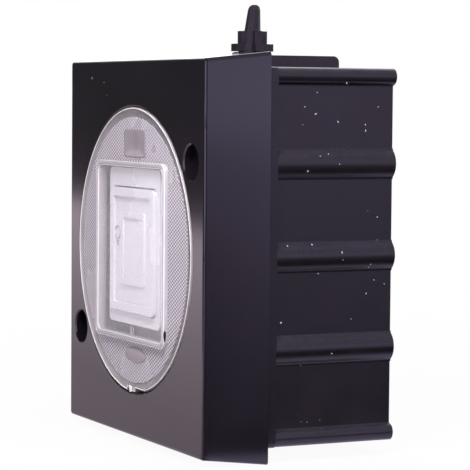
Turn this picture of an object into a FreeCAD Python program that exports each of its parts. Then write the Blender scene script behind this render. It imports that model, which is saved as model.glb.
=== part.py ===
"""Flush weatherproof press switch, in millimetres.

The rear face of the box lies in the plane y = 0 with the origin at its centre, the
face of the switch looks along -Y and +Z is up. A distance called "front" is measured
from the rear face towards the viewer, so a plane at front f lies at y = -f.
"""
import FreeCAD, Part
import math
import os
import Sketcher
from FreeCAD import Placement, Rotation, Vector

DRIVING_SIZES = {
    # face frame
    "face_width": 81.0,
    "face_height": 90.0,
    "face_corner": 0.9,
    "face_wall": 2.4,
    "face_edge_round": 0.7,
    "bezel_depth": 15.6,
    "bezel_flare": 1.7,
    "mouth_chamfer": 0.35,
    # back box
    "box_inset": 3.4,
    "box_depth": 33.4,
    "box_wall": 3.0,
    "box_floor": 2.2,
    "box_corner": 1.2,
    "cavity_corner": 2.0,
    "box_rear_round": 0.4,
    "spigot_wall": 1.4,
    "spigot_height": 4.5,
    "rim_depth": 2.75,
    # ribs on the two long sides
    "rib_height": 1.6,
    "rib_radius": 3.8,
    "rib_fillet": 1.0,
    "rib_pitch": 21.25,
    "bead_radius": 1.95,
    "bead_fillet": 0.35,
    # raised land on top of the box, and the grommet in it
    "land_width": 24.0,
    "land_height": 3.2,
    "land_round": 1.5,
    "gland_front": 17.6,
    "gland_hole": 4.05,
    "gland_clear": 0.05,
    "gland_flange": 6.0,
    "gland_flange_thick": 1.5,
    "gland_bore": 1.1,
    "collar_radius": 4.6,
    "collar_height": 0.9,
    "lug_gap": 0.2,
    "low_core": 3.3,
    "low_lug": 5.0,
    "low_lug_width": 3.0,
    "low_height": 1.8,
    "high_core": 2.4,
    "high_lug": 3.5,
    "high_lug_width": 2.0,
    "high_height": 3.1,
    "nipple_base": 1.98,
    "nipple_end": 1.5,
    "nipple_shoulder": 5.25,
    "nipple_dome": 6.0,
    "nipple_dome_radius": 1.2,
    "nipple_length": 6.4,
    "nipple_tip_radius": 0.63,
    "nipple_lean": 0.5,
    "flute_depth": 0.16,
    "flute_count": 8,
    # screws that hold the face frame, and their wells
    "well_x": 33.1,
    "well_z": 21.65,
    "well_radius": 4.0,
    "well_tube_wall": 1.2,
    "well_floor": 2.2,
    "screw_shank": 1.75,
    "screw_head": 3.2,
    "screw_head_height": 2.3,
    "screw_bite": 12.0,
    "screw_clear": 0.45,
    "thread_clear": 0.05,
    "boss_radius": 4.0,
    "seal_thick": 0.8,
    "joint_gap": 0.3,
    # gasket between the frame and the box
    "gasket_width": 1.3,
    "gasket_height": 2.2,
    "gasket_clear": 0.1,
    # clear membrane and its clamp ring
    "disc_radius": 34.1,
    "disc_z": -0.25,
    "disc_clear": 0.2,
    "skin_thick": 1.2,
    "rim_inner": 31.0,
    "flange_radius": 36.2,
    "flange_thick": 1.4,
    "scallop_clear": 0.4,
    "window_width": 41.8,
    "window_height": 43.2,
    "window_z": -0.6,
    "window_corner": 2.2,
    "window_proud": 1.15,
    "window_inner_width": 38.2,
    "window_inner_height": 40.4,
    "window_inner_corner": 1.1,
    "film_thick": 0.3,
    "film_recess": 0.2,
    "ridge_width": 1.5,
    "key_width": 8.6,
    "key_x": 6.4,
    "key_depth": 0.95,
    "notch_width": 1.5,
    "notch_x": -3.15,
    "notch_corner": 0.24,
    "ring_thick": 1.6,
    "ear_x": 30.0,
    "ear_z": 33.0,
    "ear_radius": 3.4,
    "ear_side": 13.8,
    "ear_boss": 2.75,
    "small_shank": 1.0,
    "small_head": 2.1,
    "small_head_height": 1.4,
    "small_bite": 1.2,
    # fixing to the wall
    "fixing_x": 25.0,
    "fixing_z": 30.0,
    "fixing_hole": 2.3,
    "fixing_collar": 4.5,
    "fixing_collar_height": 1.5,
    # strap that carries the switch
    "strap_width": 56.0,
    "strap_height": 70.0,
    "strap_corner": 4.0,
    "strap_thick": 1.0,
    "strap_behind_face": 11.5,
    "strap_lip": 3.0,
    "strap_lip_corner": 0.25,
    "strap_slot_width": 6.4,
    "strap_slot_flat": 0.09,
    "post_z": 30.0,
    "post_radius": 3.5,
    "strap_shank": 1.45,
    "strap_head": 2.9,
    "strap_head_height": 1.9,
    "strap_bite": 11.0,
    # switch housing
    "body_width": 38.0,
    "body_height": 40.0,
    "body_corner": 1.5,
    "body_wall": 1.6,
    "body_depth": 23.5,
    "body_floor": 1.8,
    "body_clear": 1.3,
    "deck_inset": 1.5,
    "deck_thick": 2.0,
    "deck_height": 12.0,
    "deck_corner": 0.4,
    "pocket_corner": 0.17,
    # white cover of the switch
    "cover_width": 30.6,
    "cover_height": 37.6,
    "cover_z": 0.5,
    "cover_corner": 1.4,
    "cover_inner_corner": 0.7,
    "cover_wall": 1.4,
    "cover_behind_face": 0.45,
    "cover_flange_side": 1.3,
    "cover_flange_end": 3.0,
    "cover_flange_thick": 1.4,
    "leg_thick": 1.1,
    "leg_width": 8.0,
    "leg_length": 7.5,
    "leg_corner": 0.14,
    "nose_reach": 1.2,
    "nose_length": 2.9,
    "nose_gap": 0.2,
    "barb_reach": 0.7,
    "barb_width": 5.0,
    "barb_inset": 6.5,
    "barb_length": 2.0,
    "fit_gap": 0.1,
    # rocker
    "rocker_width": 26.3,
    "rocker_height": 29.8,
    "rocker_z": -0.4,
    "rocker_corner": 1.4,
    "rocker_inner_corner": 0.7,
    "rocker_small_corner": 0.35,
    "rocker_gap": 0.35,
    "rocker_face_behind": 0.3,
    "rocker_plate": 1.6,
    "rim_width": 2.0,
    "rim_raise": 0.75,
    "panel_width": 14.1,
    "panel_height": 17.5,
    "panel_raise": 0.5,
    "panel_frame": 1.5,
    "panel_recess": 0.35,
    "skirt_wall": 1.4,
    "skirt_length": 3.4,
    "pivot_behind_face": 4.0,
    "pivot_below_top": 1.3,
    "pivot_radius": 1.25,
    "pivot_play": 0.05,
    "pivot_reach": 1.5,
    "presser_width": 5.0,
    "presser_height": 2.0,
    "presser_behind_face": 5.5,
    # plunger, spring and contacts
    "plunger_z": -6.1,
    "plunger_stem": 2.4,
    "plunger_play": 0.05,
    "plunger_head": 4.2,
    "plunger_head_thick": 1.5,
    "plunger_gap": 0.1,
    "stem_length": 15.1,
    "neck_radius": 1.5,
    "neck_length": 2.5,
    "bridge_overhang": 2.0,
    "bridge_width": 5.0,
    "bridge_thick": 0.8,
    "bridge_corner": 1.0,
    "contact_inset": 4.35,
    "contact_radius": 1.3,
    "contact_thick": 0.8,
    "contact_opening": 1.79,
    "wire_radius": 0.3,
    "coil_radius": 2.4,
    "coil_turns": 4.5,
    "coil_chords": 10,
    "coil_gap": 0.05,
    "spring_pin": 1.6,
    "spring_pin_height": 2.7,
    "tab_reach": 1.55,
    "strip_thick": 0.8,
    "strip_width": 4.4,
    "clamp_gap": 0.55,
    "clamp_width": 5.0,
    "clamp_height": 7.0,
    "clamp_depth": 7.0,
    "lead_bore": 1.6,
    "lead_mouth": 2.0,
    "clamp_screw_inset": 3.8,
    "clamp_screw_shank": 1.45,
    "clamp_screw_head": 2.3,
    "clamp_screw_head_height": 1.8,
    "clamp_screw_reach": 1.9,
    "clamp_screw_mouth": 2.6,
}

# Rules that several pieces share, in the sheet's own names.
FACE = "(dim.box_depth + dim.bezel_depth)"
BOX_WIDTH = "(dim.face_width + 2 * dim.bezel_flare - 2 * dim.box_inset)"
BOX_HEIGHT = "(dim.face_height + 2 * dim.bezel_flare - 2 * dim.box_inset)"
CAVITY_WIDTH = f"({BOX_WIDTH} - 2 * dim.box_wall)"
CAVITY_HEIGHT = f"({BOX_HEIGHT} - 2 * dim.box_wall)"
SPIGOT_WIDTH = f"({CAVITY_WIDTH} + 2 * dim.spigot_wall)"
SPIGOT_HEIGHT = f"({CAVITY_HEIGHT} + 2 * dim.spigot_wall)"
SPIGOT_FRONT = "(dim.box_depth + dim.spigot_height)"
RIM_WIDTH = f"({BOX_WIDTH} + 2 * dim.rib_height)"
LAND_TOP = f"({BOX_HEIGHT} / 2 + dim.land_height)"
WELL_TUBE = "(dim.well_radius + dim.well_tube_wall)"
WELL_BOTTOM = f"({SPIGOT_FRONT} + dim.joint_gap)"
WELL_SEAT = f"({WELL_BOTTOM} + dim.well_floor)"
INNER_FACE = f"({FACE} - dim.face_wall)"
FLANGE_REAR = f"({INNER_FACE} - dim.flange_thick)"
RING_REAR = f"({FLANGE_REAR} - dim.ring_thick)"
FILM_FRONT = f"({FACE} + dim.window_proud - dim.film_recess)"
STRAP_FRONT = f"({FACE} - dim.strap_behind_face)"
STRAP_SEAT = f"({STRAP_FRONT} - dim.strap_thick)"
COVER_FACE = f"({FACE} - dim.cover_behind_face)"
ROCKER_FACE = f"({FACE} - dim.rocker_face_behind)"
ROCKER_REAR = f"({ROCKER_FACE} - dim.rocker_plate)"
PIVOT_FRONT = f"({FACE} - dim.pivot_behind_face)"
PIVOT_Z = "(dim.rocker_z + dim.rocker_height / 2 - dim.pivot_below_top)"
BODY_REAR = f"({STRAP_FRONT} - dim.body_depth)"
BODY_FLOOR = f"({BODY_REAR} + dim.body_floor)"
DECK_FRONT = f"({STRAP_FRONT} - dim.deck_inset)"
BARB_REAR = f"({STRAP_FRONT} - dim.barb_inset)"
PRESSER_REAR = f"({FACE} - dim.presser_behind_face)"
SHOULDER_FRONT = f"({PRESSER_REAR} - dim.stem_length)"
OPENING_WIDTH = "(dim.body_width + 2 * dim.body_clear)"
OPENING_HEIGHT = "(dim.body_height + 2 * dim.body_clear)"
BRIDGE_REAR = f"({SHOULDER_FRONT} - dim.bridge_thick)"
MOVING_TIP = f"({BRIDGE_REAR} - dim.contact_thick)"
FIXED_TIP = f"({MOVING_TIP} - dim.contact_opening)"
STRIP_FRONT = f"({FIXED_TIP} - dim.contact_thick)"
COVER_FLANGE_WIDTH = "(dim.body_width + 2 * (dim.fit_gap + dim.leg_thick + dim.cover_flange_side))"
COVER_FLANGE_HEIGHT = "(dim.body_height + 2 * dim.cover_flange_end)"
CLAMP_END = "(dim.body_width / 2 - dim.body_wall - dim.clamp_gap)"
CLAMP_START = f"({CLAMP_END} - dim.clamp_width)"
CLAMP_X = f"({CLAMP_START} + dim.clamp_width / 2)"
CONTACT_X = f"({CLAMP_START} - dim.contact_inset)"
TAB_START = f"({CONTACT_X} - dim.tab_reach)"
CLAMP_SCREW_FRONT = f"({BODY_FLOOR} + dim.clamp_screw_inset)"

NEAR = 1e-4

doc = FreeCAD.newDocument("weatherproof_switch")
sheet = doc.addObject("Spreadsheet::Sheet", "dim")
finished = []


def fill_sheet():
    """Writes every driving size as a plain number with its own alias."""
    for row, (alias, size) in enumerate(DRIVING_SIZES.items(), start=1):
        sheet.set(f"A{row}", alias)
        sheet.set(f"B{row}", str(size))
        sheet.setAlias(f"B{row}", alias)
    doc.recompute()


def value(rule):
    """The present value of a rule, for the starting places of sketch geometry."""
    return float(sheet.evalExpression(rule))


class Moulding:
    """A body built from pads and pockets on sketches that lie across one axis."""

    def __init__(self, label):
        self.body = doc.addObject("PartDesign::Body", label)
        self.label = label
        self.count = 0
        finished.append(self.body)

    def plane(self, role):
        """The body's own origin plane of that role."""
        return next(f for f in self.body.Origin.OriginFeatures if f.Role == role)

    def sketch(self, at, x="0", z="0", role="XZ_Plane", turn=0.0):
        """A sketch parallel to a main plane, its own origin shifted to x, z and at."""
        self.count += 1
        made = self.body.newObject("Sketcher::SketchObject", f"{self.label}_sketch_{self.count}")
        made.AttachmentSupport = [(self.plane(role), "")]
        made.MapMode = "FlatFace"
        made.AttachmentOffset = Placement(Vector(), Rotation(Vector(0, 0, 1), turn))
        for axis, rule in zip("xyz", (x, z, at)):
            made.setExpression(f"AttachmentOffset.Base.{axis}", rule)
        return made

    def outline(self, at, width, height, corner, x="0", z="0"):
        """A sketch of a rectangle with round corners."""
        made = self.sketch(at, x, z)
        round_rectangle(made, width, height, corner)
        return made

    def disc(self, at, radius, x="0", z="0", role="XZ_Plane"):
        """A sketch of one circle."""
        made = self.sketch(at, x, z, role)
        made.addGeometry(Part.Circle(Vector(), Vector(0, 0, 1), value(radius)))
        made.addConstraint(Sketcher.Constraint("Coincident", 0, 3, -1, 1))
        bind_constraint(made, Sketcher.Constraint("Radius", 0, value(radius)), "radius", radius)
        return made

    def pad(self, profile, length, rearward=False):
        """Adds the profile's prism, towards the front unless rearward is set."""
        return self._extrude("PartDesign::Pad", profile, length, rearward)

    def pocket(self, profile, length, rearward=True):
        """Removes the profile's prism, towards the rear unless told otherwise."""
        return self._extrude("PartDesign::Pocket", profile, length, not rearward)

    def _extrude(self, kind, profile, length, reverse):
        made = self.body.newObject(kind, f"{self.label}_{kind.split('::')[1].lower()}_{self.count}")
        made.Profile = profile
        made.Reversed = reverse
        made.setExpression("Length", length)
        profile.Visibility = False
        return made

    def loft(self, first, second):
        """Joins two outlines by straight walls."""
        made = self.body.newObject("PartDesign::AdditiveLoft", f"{self.label}_loft_{self.count}")
        made.Profile = first
        made.Sections = [second]
        made.Ruled = True
        return made

    def soften(self, test, size, kind="Fillet"):
        """Rounds or bevels each edge of the present shape that passes the test."""
        doc.recompute()
        base = self.body.Tip
        names = [f"Edge{i}" for i, edge in enumerate(base.Shape.Edges, start=1) if test(edge)]
        self.count += 1
        made = self.body.newObject(f"PartDesign::{kind}", f"{self.label}_{kind.lower()}_{self.count}")
        made.Base = (base, names)
        made.setExpression("Radius" if kind == "Fillet" else "Size", size)
        return made


def bind_constraint(sketch, constraint, name, rule):
    """Adds a dimension to a sketch and ties it to a rule of the sheet."""
    index = sketch.addConstraint(constraint)
    sketch.renameConstraint(index, name)
    sketch.setExpression(f"Constraints.{name}", rule)


def round_rectangle(sketch, width, height, corner):
    """Draws and fully constrains a centred rectangle with four equal round corners."""
    half_w, half_h, radius = value(width) / 2, value(height) / 2, value(corner)
    mid_w, mid_h = half_w - radius, half_h - radius
    sides = (
        ((-mid_w, -half_h), (mid_w, -half_h)),
        ((half_w, -mid_h), (half_w, mid_h)),
        ((mid_w, half_h), (-mid_w, half_h)),
        ((-half_w, mid_h), (-half_w, -mid_h)),
    )
    centres = ((mid_w, -mid_h), (mid_w, mid_h), (-mid_w, mid_h), (-mid_w, -mid_h))
    for quarter, ((start, end), centre) in enumerate(zip(sides, centres)):
        sketch.addGeometry(Part.LineSegment(Vector(*start, 0), Vector(*end, 0)))
        circle = Part.Circle(Vector(*centre, 0), Vector(0, 0, 1), radius)
        turn = math.pi / 2 * (quarter - 1)
        sketch.addGeometry(Part.ArcOfCircle(circle, turn, turn + math.pi / 2))
    for side in range(0, 8, 2):
        sketch.addConstraint(Sketcher.Constraint("Tangent", side, 2, side + 1, 1))
        sketch.addConstraint(Sketcher.Constraint("Tangent", side + 1, 2, (side + 2) % 8, 1))
        sketch.addConstraint(Sketcher.Constraint("Horizontal" if side % 4 == 0 else "Vertical", side))
    for arc in (3, 5, 7):
        sketch.addConstraint(Sketcher.Constraint("Equal", 1, arc))
    sketch.addConstraint(Sketcher.Constraint("Symmetric", 1, 3, 5, 3, -1, 1))
    bind_constraint(sketch, Sketcher.Constraint("Radius", 1, radius), "corner", corner)
    bind_constraint(sketch, Sketcher.Constraint("DistanceX", 6, 1, 2, 1, 2 * half_w), "width", width)
    bind_constraint(sketch, Sketcher.Constraint("DistanceY", 0, 1, 4, 1, 2 * half_h), "height", height)


def rib_profile(sketch):
    """Draws a rib's section: a round crown that runs out into the wall by two hollow arcs."""
    crown, hollow, height = value("dim.rib_radius"), value("dim.rib_fillet"), value("dim.rib_height")
    inset = crown - height
    foot = math.sqrt((crown + hollow) ** 2 - (inset + hollow) ** 2)
    swing = math.atan2(foot, inset + hollow)
    low = Part.Circle(Vector(hollow, -foot, 0), Vector(0, 0, 1), hollow)
    top = Part.Circle(Vector(-inset, 0, 0), Vector(0, 0, 1), crown)
    high = Part.Circle(Vector(hollow, foot, 0), Vector(0, 0, 1), hollow)
    sketch.addGeometry(Part.LineSegment(Vector(0, foot, 0), Vector(0, -foot, 0)))
    sketch.addGeometry(Part.ArcOfCircle(low, math.pi - swing, math.pi))
    sketch.addGeometry(Part.ArcOfCircle(top, -swing, swing))
    sketch.addGeometry(Part.ArcOfCircle(high, math.pi, math.pi + swing))
    for first, first_end, second, second_end in ((0, 2, 1, 2), (1, 1, 2, 1), (2, 2, 3, 2), (3, 1, 0, 1)):
        sketch.addConstraint(Sketcher.Constraint("Tangent", first, first_end, second, second_end))
    sketch.addConstraint(Sketcher.Constraint("PointOnObject", 0, 1, -2))
    sketch.addConstraint(Sketcher.Constraint("PointOnObject", 0, 2, -2))
    sketch.addConstraint(Sketcher.Constraint("PointOnObject", 2, 3, -1))
    sketch.addConstraint(Sketcher.Constraint("Equal", 1, 3))
    bind_constraint(sketch, Sketcher.Constraint("Radius", 1, hollow), "hollow", "dim.rib_fillet")
    bind_constraint(sketch, Sketcher.Constraint("Radius", 2, crown), "crown", "dim.rib_radius")
    bind_constraint(sketch, Sketcher.Constraint("DistanceX", 2, 3, -1, 1, inset), "inset",
                    "dim.rib_radius - dim.rib_height")


def land_profile(sketch):
    """Draws the side view of the land, from its round rear top corner down into the wall."""
    corner, length = value("dim.land_round"), value("dim.box_depth")
    height = value("dim.land_height + dim.box_wall / 2")
    circle = Part.Circle(Vector(-corner, -corner, 0), Vector(0, 0, 1), corner)
    sketch.addGeometry(Part.LineSegment(Vector(0, -corner, 0), Vector(0, -height, 0)))
    sketch.addGeometry(Part.LineSegment(Vector(0, -height, 0), Vector(-length, -height, 0)))
    sketch.addGeometry(Part.LineSegment(Vector(-length, -height, 0), Vector(-length, 0, 0)))
    sketch.addGeometry(Part.LineSegment(Vector(-length, 0, 0), Vector(-corner, 0, 0)))
    sketch.addGeometry(Part.ArcOfCircle(circle, 0, math.pi / 2))
    for side in range(3):
        sketch.addConstraint(Sketcher.Constraint("Coincident", side, 2, side + 1, 1))
    for side in range(4):
        sketch.addConstraint(Sketcher.Constraint("Horizontal" if side % 2 else "Vertical", side))
    sketch.addConstraint(Sketcher.Constraint("Tangent", 3, 2, 4, 2))
    sketch.addConstraint(Sketcher.Constraint("Tangent", 4, 1, 0, 1))
    sketch.addConstraint(Sketcher.Constraint("PointOnObject", 0, 2, -2))
    sketch.addConstraint(Sketcher.Constraint("PointOnObject", 3, 1, -1))
    bind_constraint(sketch, Sketcher.Constraint("Radius", 4, corner), "corner", "dim.land_round")
    bind_constraint(sketch, Sketcher.Constraint("DistanceX", 2, 1, -1, 1, length), "length",
                    "dim.box_depth")
    bind_constraint(sketch, Sketcher.Constraint("DistanceY", 2, 1, 2, 2, height), "height",
                    "dim.land_height + dim.box_wall / 2")


def rod(label, radius, start, length, x="0", z="0"):
    """A cylinder whose axis runs towards the front from the distance called start."""
    made = doc.addObject("Part::Cylinder", label)
    made.Placement = Placement(Vector(), Rotation(Vector(1, 0, 0), 90))
    made.setExpression("Radius", radius)
    made.setExpression("Height", length)
    made.setExpression("Placement.Base.x", x)
    made.setExpression("Placement.Base.y", f"-({start})")
    made.setExpression("Placement.Base.z", z)
    return made


def cross_rod(label, radius, start_x, length, front, z, side=1):
    """A cylinder whose axis runs outwards along X from start_x, on the side given."""
    made = doc.addObject("Part::Cylinder", label)
    made.Placement = Placement(Vector(), Rotation(Vector(0, 1, 0), 90 * side))
    made.setExpression("Radius", radius)
    made.setExpression("Height", length)
    made.setExpression("Placement.Base.x", f"{side} * ({start_x})")
    made.setExpression("Placement.Base.y", f"-({front})")
    made.setExpression("Placement.Base.z", z)
    return made


def block(label, x, rear, z, width, depth, height):
    """A box centred on x and z that starts at the distance called rear."""
    made = doc.addObject("Part::Box", label)
    made.setExpression("Length", width)
    made.setExpression("Width", depth)
    made.setExpression("Height", height)
    made.setExpression("Placement.Base.x", f"{x} - ({width}) / 2")
    made.setExpression("Placement.Base.y", f"-({rear}) - ({depth})")
    made.setExpression("Placement.Base.z", f"{z} - ({height}) / 2")
    return made


def fuse(label, parts):
    """Joins solids into one."""
    made = doc.addObject("Part::MultiFuse", label)
    made.Shapes = parts
    return made


def cut(label, base, tool):
    """Removes one solid from another."""
    made = doc.addObject("Part::Cut", label)
    made.Base = base
    made.Tool = tool
    return made


def group(label, parts):
    """Keeps separate solids together as one finished piece."""
    made = doc.addObject("Part::Compound", label)
    made.Links = parts
    finished.append(made)
    return made


def on_plane(edge, front):
    """Whether an edge lies wholly in the plane at that front distance."""
    return abs(edge.BoundBox.YMin + front) < NEAR and abs(edge.BoundBox.YMax + front) < NEAR


def signs():
    """The four corners of a rectangle as pairs of signs."""
    return [(i, j) for i in (-1, 1) for j in (-1, 1)]


def make_back_box():
    """Open box with a floor, ribbed sides, a front rim, a spigot and a land on top."""
    box = Moulding("back_box")
    side_length = "dim.box_depth - dim.rim_depth"
    box.pad(box.outline("0", BOX_WIDTH, BOX_HEIGHT, "dim.box_corner"), "dim.box_depth")
    box.soften(lambda edge: on_plane(edge, 0.0), "dim.box_rear_round")
    for side in (-1, 1):
        for step in (-1, 0, 1):
            rib = box.sketch("0", f"{side} * {BOX_WIDTH} / 2", f"{step} * dim.rib_pitch",
                             turn=0.0 if side > 0 else 180.0)
            rib_profile(rib)
            box.pad(rib, side_length)
    bead_x = f"({BOX_WIDTH} / 2 + dim.rib_height - dim.bead_radius)"
    bead_z = f"({BOX_HEIGHT} / 2 - dim.bead_radius)"
    for side, end in signs():
        bead = box.disc("0", "dim.bead_radius", f"{side} * {bead_x}", f"{end} * {bead_z}")
        box.pad(bead, side_length)
    wall_x = value(BOX_WIDTH) / 2
    bead_low = value(bead_z) - value("dim.bead_radius")

    def bead_root(edge):
        box_of = edge.BoundBox
        on_wall = abs(abs(box_of.XMin) - wall_x) < NEAR and box_of.XLength < NEAR
        return on_wall and box_of.ZLength < NEAR and bead_low < abs(box_of.ZMin) < value(bead_z)

    box.soften(bead_root, "dim.bead_fillet")
    box.pad(box.outline("dim.box_depth - dim.rim_depth", RIM_WIDTH, BOX_HEIGHT, "dim.box_corner"),
            "dim.rim_depth")
    box.pad(box.outline("dim.box_depth", SPIGOT_WIDTH, SPIGOT_HEIGHT,
                        "dim.cavity_corner + dim.spigot_wall"), "dim.spigot_height")
    land = box.sketch("0", "0", LAND_TOP, "YZ_Plane")
    land_profile(land)
    box.pad(land, "dim.land_width").Midplane = True
    box.pocket(box.outline("dim.box_floor", CAVITY_WIDTH, CAVITY_HEIGHT, "dim.cavity_corner"),
               "dim.box_depth + dim.spigot_height", rearward=False)
    box.pocket(box.disc(LAND_TOP, "dim.gland_hole", z="-dim.gland_front", role="XY_Plane"),
               "dim.land_height + dim.box_wall + dim.box_wall / 2")
    for side in (-1, 1):
        x, z = f"{side} * dim.well_x", f"{side} * dim.well_z"
        box.pad(box.disc("dim.box_floor / 2", "dim.boss_radius", x, z),
                f"{SPIGOT_FRONT} - dim.box_floor / 2")
        box.pocket(box.disc(SPIGOT_FRONT, "dim.screw_shank + dim.thread_clear", x, z),
                   "dim.screw_bite + dim.well_floor")
        post_z = f"{side} * dim.post_z"
        box.pad(box.disc("dim.box_floor / 2", "dim.post_radius", z=post_z),
                f"{STRAP_SEAT} - dim.box_floor / 2")
        box.pocket(box.disc(STRAP_SEAT, "dim.strap_shank + dim.thread_clear", z=post_z),
                   "dim.strap_bite + dim.strap_thick")
    for i, j in signs():
        x, z = f"{i} * dim.fixing_x", f"{j} * dim.fixing_z"
        box.pad(box.disc("dim.box_floor / 2", "dim.fixing_collar", x, z),
                "dim.fixing_collar_height + dim.box_floor / 2")
        box.pocket(box.disc("dim.box_floor + dim.fixing_collar_height", "dim.fixing_hole", x, z),
                   "2 * dim.box_floor + dim.fixing_collar_height")


def make_front_bezel():
    """Flared frame with a round mouth and two deep screw wells on a diagonal."""
    bezel = Moulding("front_bezel")
    back = bezel.outline("dim.box_depth", "dim.face_width + 2 * dim.bezel_flare",
                         "dim.face_height + 2 * dim.bezel_flare", "dim.face_corner")
    front = bezel.outline(FACE, "dim.face_width", "dim.face_height", "dim.face_corner")
    bezel.loft(back, front)
    face = value(FACE)
    bezel.soften(lambda edge: on_plane(edge, face), "dim.face_edge_round")
    inner_w = f"({SPIGOT_WIDTH} + 2 * dim.joint_gap)"
    inner_h = f"({SPIGOT_HEIGHT} + 2 * dim.joint_gap)"
    bezel.pocket(bezel.outline("dim.box_depth", inner_w, inner_h, "dim.cavity_corner + dim.spigot_wall"),
                 "dim.bezel_depth - dim.face_wall", rearward=False)
    rebate = "2 * (dim.gasket_width + 2 * dim.gasket_clear)"
    bezel.pocket(bezel.outline("dim.box_depth", f"{SPIGOT_WIDTH} + {rebate}",
                               f"{SPIGOT_HEIGHT} + {rebate}",
                               "dim.cavity_corner + dim.spigot_wall + dim.gasket_width"),
                 "dim.gasket_height", rearward=False)
    bezel.pocket(bezel.disc(FACE, "dim.disc_radius + dim.disc_clear", z="dim.disc_z"), "dim.face_wall")
    for side in (-1, 1):
        x, z = f"{side} * dim.well_x", f"{side} * dim.well_z"
        bezel.pad(bezel.disc(WELL_BOTTOM, WELL_TUBE, x, z), f"{INNER_FACE} - {WELL_BOTTOM}")
        bezel.pocket(bezel.disc(FACE, "dim.well_radius", x, z), f"{FACE} - {WELL_SEAT}")
        bezel.pocket(bezel.disc(WELL_SEAT, "dim.screw_shank + dim.screw_clear", x, z),
                     "dim.well_floor + dim.joint_gap")
    for i, j in signs():
        x, z = f"{i} * dim.ear_x", f"{j} * dim.ear_z"
        bezel.pad(bezel.disc(FLANGE_REAR, "dim.ear_boss", x, z), "dim.flange_thick")
        bezel.pocket(bezel.disc(FLANGE_REAR, "dim.small_shank + dim.thread_clear", x, z),
                     "dim.flange_thick + dim.small_bite", rearward=False)
    radii = (value("dim.well_radius"), value("dim.disc_radius + dim.disc_clear"))

    def mouth(edge):
        if not on_plane(edge, face) or not hasattr(edge.Curve, "Radius"):
            return False
        return any(abs(edge.Curve.Radius - radius) < NEAR for radius in radii)

    bezel.soften(mouth, "dim.mouth_chamfer", "Chamfer")


def make_clear_membrane():
    """Round flexible cover with a clamped flange and a raised square window."""
    cover = Moulding("clear_membrane")
    stack = "dim.face_wall + dim.flange_thick"
    cover.pad(cover.disc(FLANGE_REAR, "dim.disc_radius", z="dim.disc_z"), stack)
    cover.pad(cover.disc(FLANGE_REAR, "dim.flange_radius"), "dim.flange_thick")
    cover.pocket(cover.disc(FLANGE_REAR, "dim.rim_inner", z="dim.disc_z"),
                 f"{stack} - dim.skin_thick", rearward=False)
    skin_rear = f"({FACE} - dim.skin_thick)"
    cover.pad(cover.outline(skin_rear, "dim.window_width", "dim.window_height", "dim.window_corner",
                            z="dim.window_z"), "dim.skin_thick + dim.window_proud")
    cover.pocket(cover.outline(skin_rear, "dim.window_inner_width", "dim.window_inner_height",
                               "dim.window_inner_corner", z="dim.window_z"),
                 f"{FILM_FRONT} - dim.film_thick - {skin_rear}", rearward=False)
    cover.pocket(cover.outline(f"{FACE} + dim.window_proud", "dim.window_width - 2 * dim.ridge_width",
                               "dim.window_height - 2 * dim.ridge_width", "dim.window_inner_corner",
                               z="dim.window_z"), "dim.film_recess")
    for side in (-1, 1):
        cover.pocket(cover.disc(FLANGE_REAR, f"{WELL_TUBE} + dim.scallop_clear",
                                f"{side} * dim.well_x", f"{side} * dim.well_z"),
                     "dim.flange_thick", rearward=False)
    for width, x in (("dim.key_width", "dim.key_x"), ("dim.notch_width", "dim.notch_x")):
        cover.pocket(cover.outline(FACE, width, "2 * dim.key_depth", "dim.notch_corner",
                                   x, "dim.disc_z - dim.disc_radius"), "dim.face_wall")


def make_retaining_ring():
    """Clamp ring behind the membrane, with four eared corners and room for the wells."""
    ring = Moulding("retaining_ring")
    ring.pad(ring.disc(RING_REAR, "dim.flange_radius"), "dim.ring_thick")
    inset = "(dim.ear_side / 2 - dim.ear_radius)"
    for i, j in signs():
        ring.pad(ring.outline(RING_REAR, "dim.ear_side", "dim.ear_side", "dim.ear_radius",
                              f"{i} * (dim.ear_x - {inset})", f"{j} * (dim.ear_z - {inset})"),
                 "dim.ring_thick")
    ring.pocket(ring.disc(RING_REAR, "dim.rim_inner"), "dim.ring_thick", rearward=False)
    for side in (-1, 1):
        ring.pocket(ring.disc(RING_REAR, f"{WELL_TUBE} + dim.scallop_clear",
                              f"{side} * dim.well_x", f"{side} * dim.well_z"),
                    "dim.ring_thick", rearward=False)
    for i, j in signs():
        ring.pocket(ring.disc(RING_REAR, "dim.small_shank + dim.screw_clear / 2",
                              f"{i} * dim.ear_x", f"{j} * dim.ear_z"),
                    "dim.ring_thick", rearward=False)


def make_bezel_gasket():
    """Rubber frame that lies round the spigot, between the box rim and the face frame."""
    gasket = Moulding("bezel_gasket")
    inner_w = f"({SPIGOT_WIDTH} + 2 * dim.gasket_clear)"
    inner_h = f"({SPIGOT_HEIGHT} + 2 * dim.gasket_clear)"
    corner = "dim.cavity_corner + dim.spigot_wall"
    gasket.pad(gasket.outline("dim.box_depth", f"{inner_w} + 2 * dim.gasket_width",
                              f"{inner_h} + 2 * dim.gasket_width", f"{corner} + dim.gasket_width"),
               "dim.gasket_height")
    gasket.pocket(gasket.outline("dim.box_depth", inner_w, inner_h, corner), "dim.gasket_height",
                  rearward=False)


def fluted_ring(radius, valley, height, shift):
    """A closed wire of shallow lobes round a centre that is shifted rearwards."""
    lobes = round(value("dim.flute_count"))
    arcs = []
    for lobe in range(lobes):
        points = []
        for part, reach in enumerate((valley, radius, valley)):
            angle = 2 * math.pi * (lobe + part / 2) / lobes
            points.append(Vector(reach * math.cos(angle), shift + reach * math.sin(angle), height))
        arcs.append(Part.Arc(*points).toShape())
    return Part.Wire(arcs)


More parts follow.
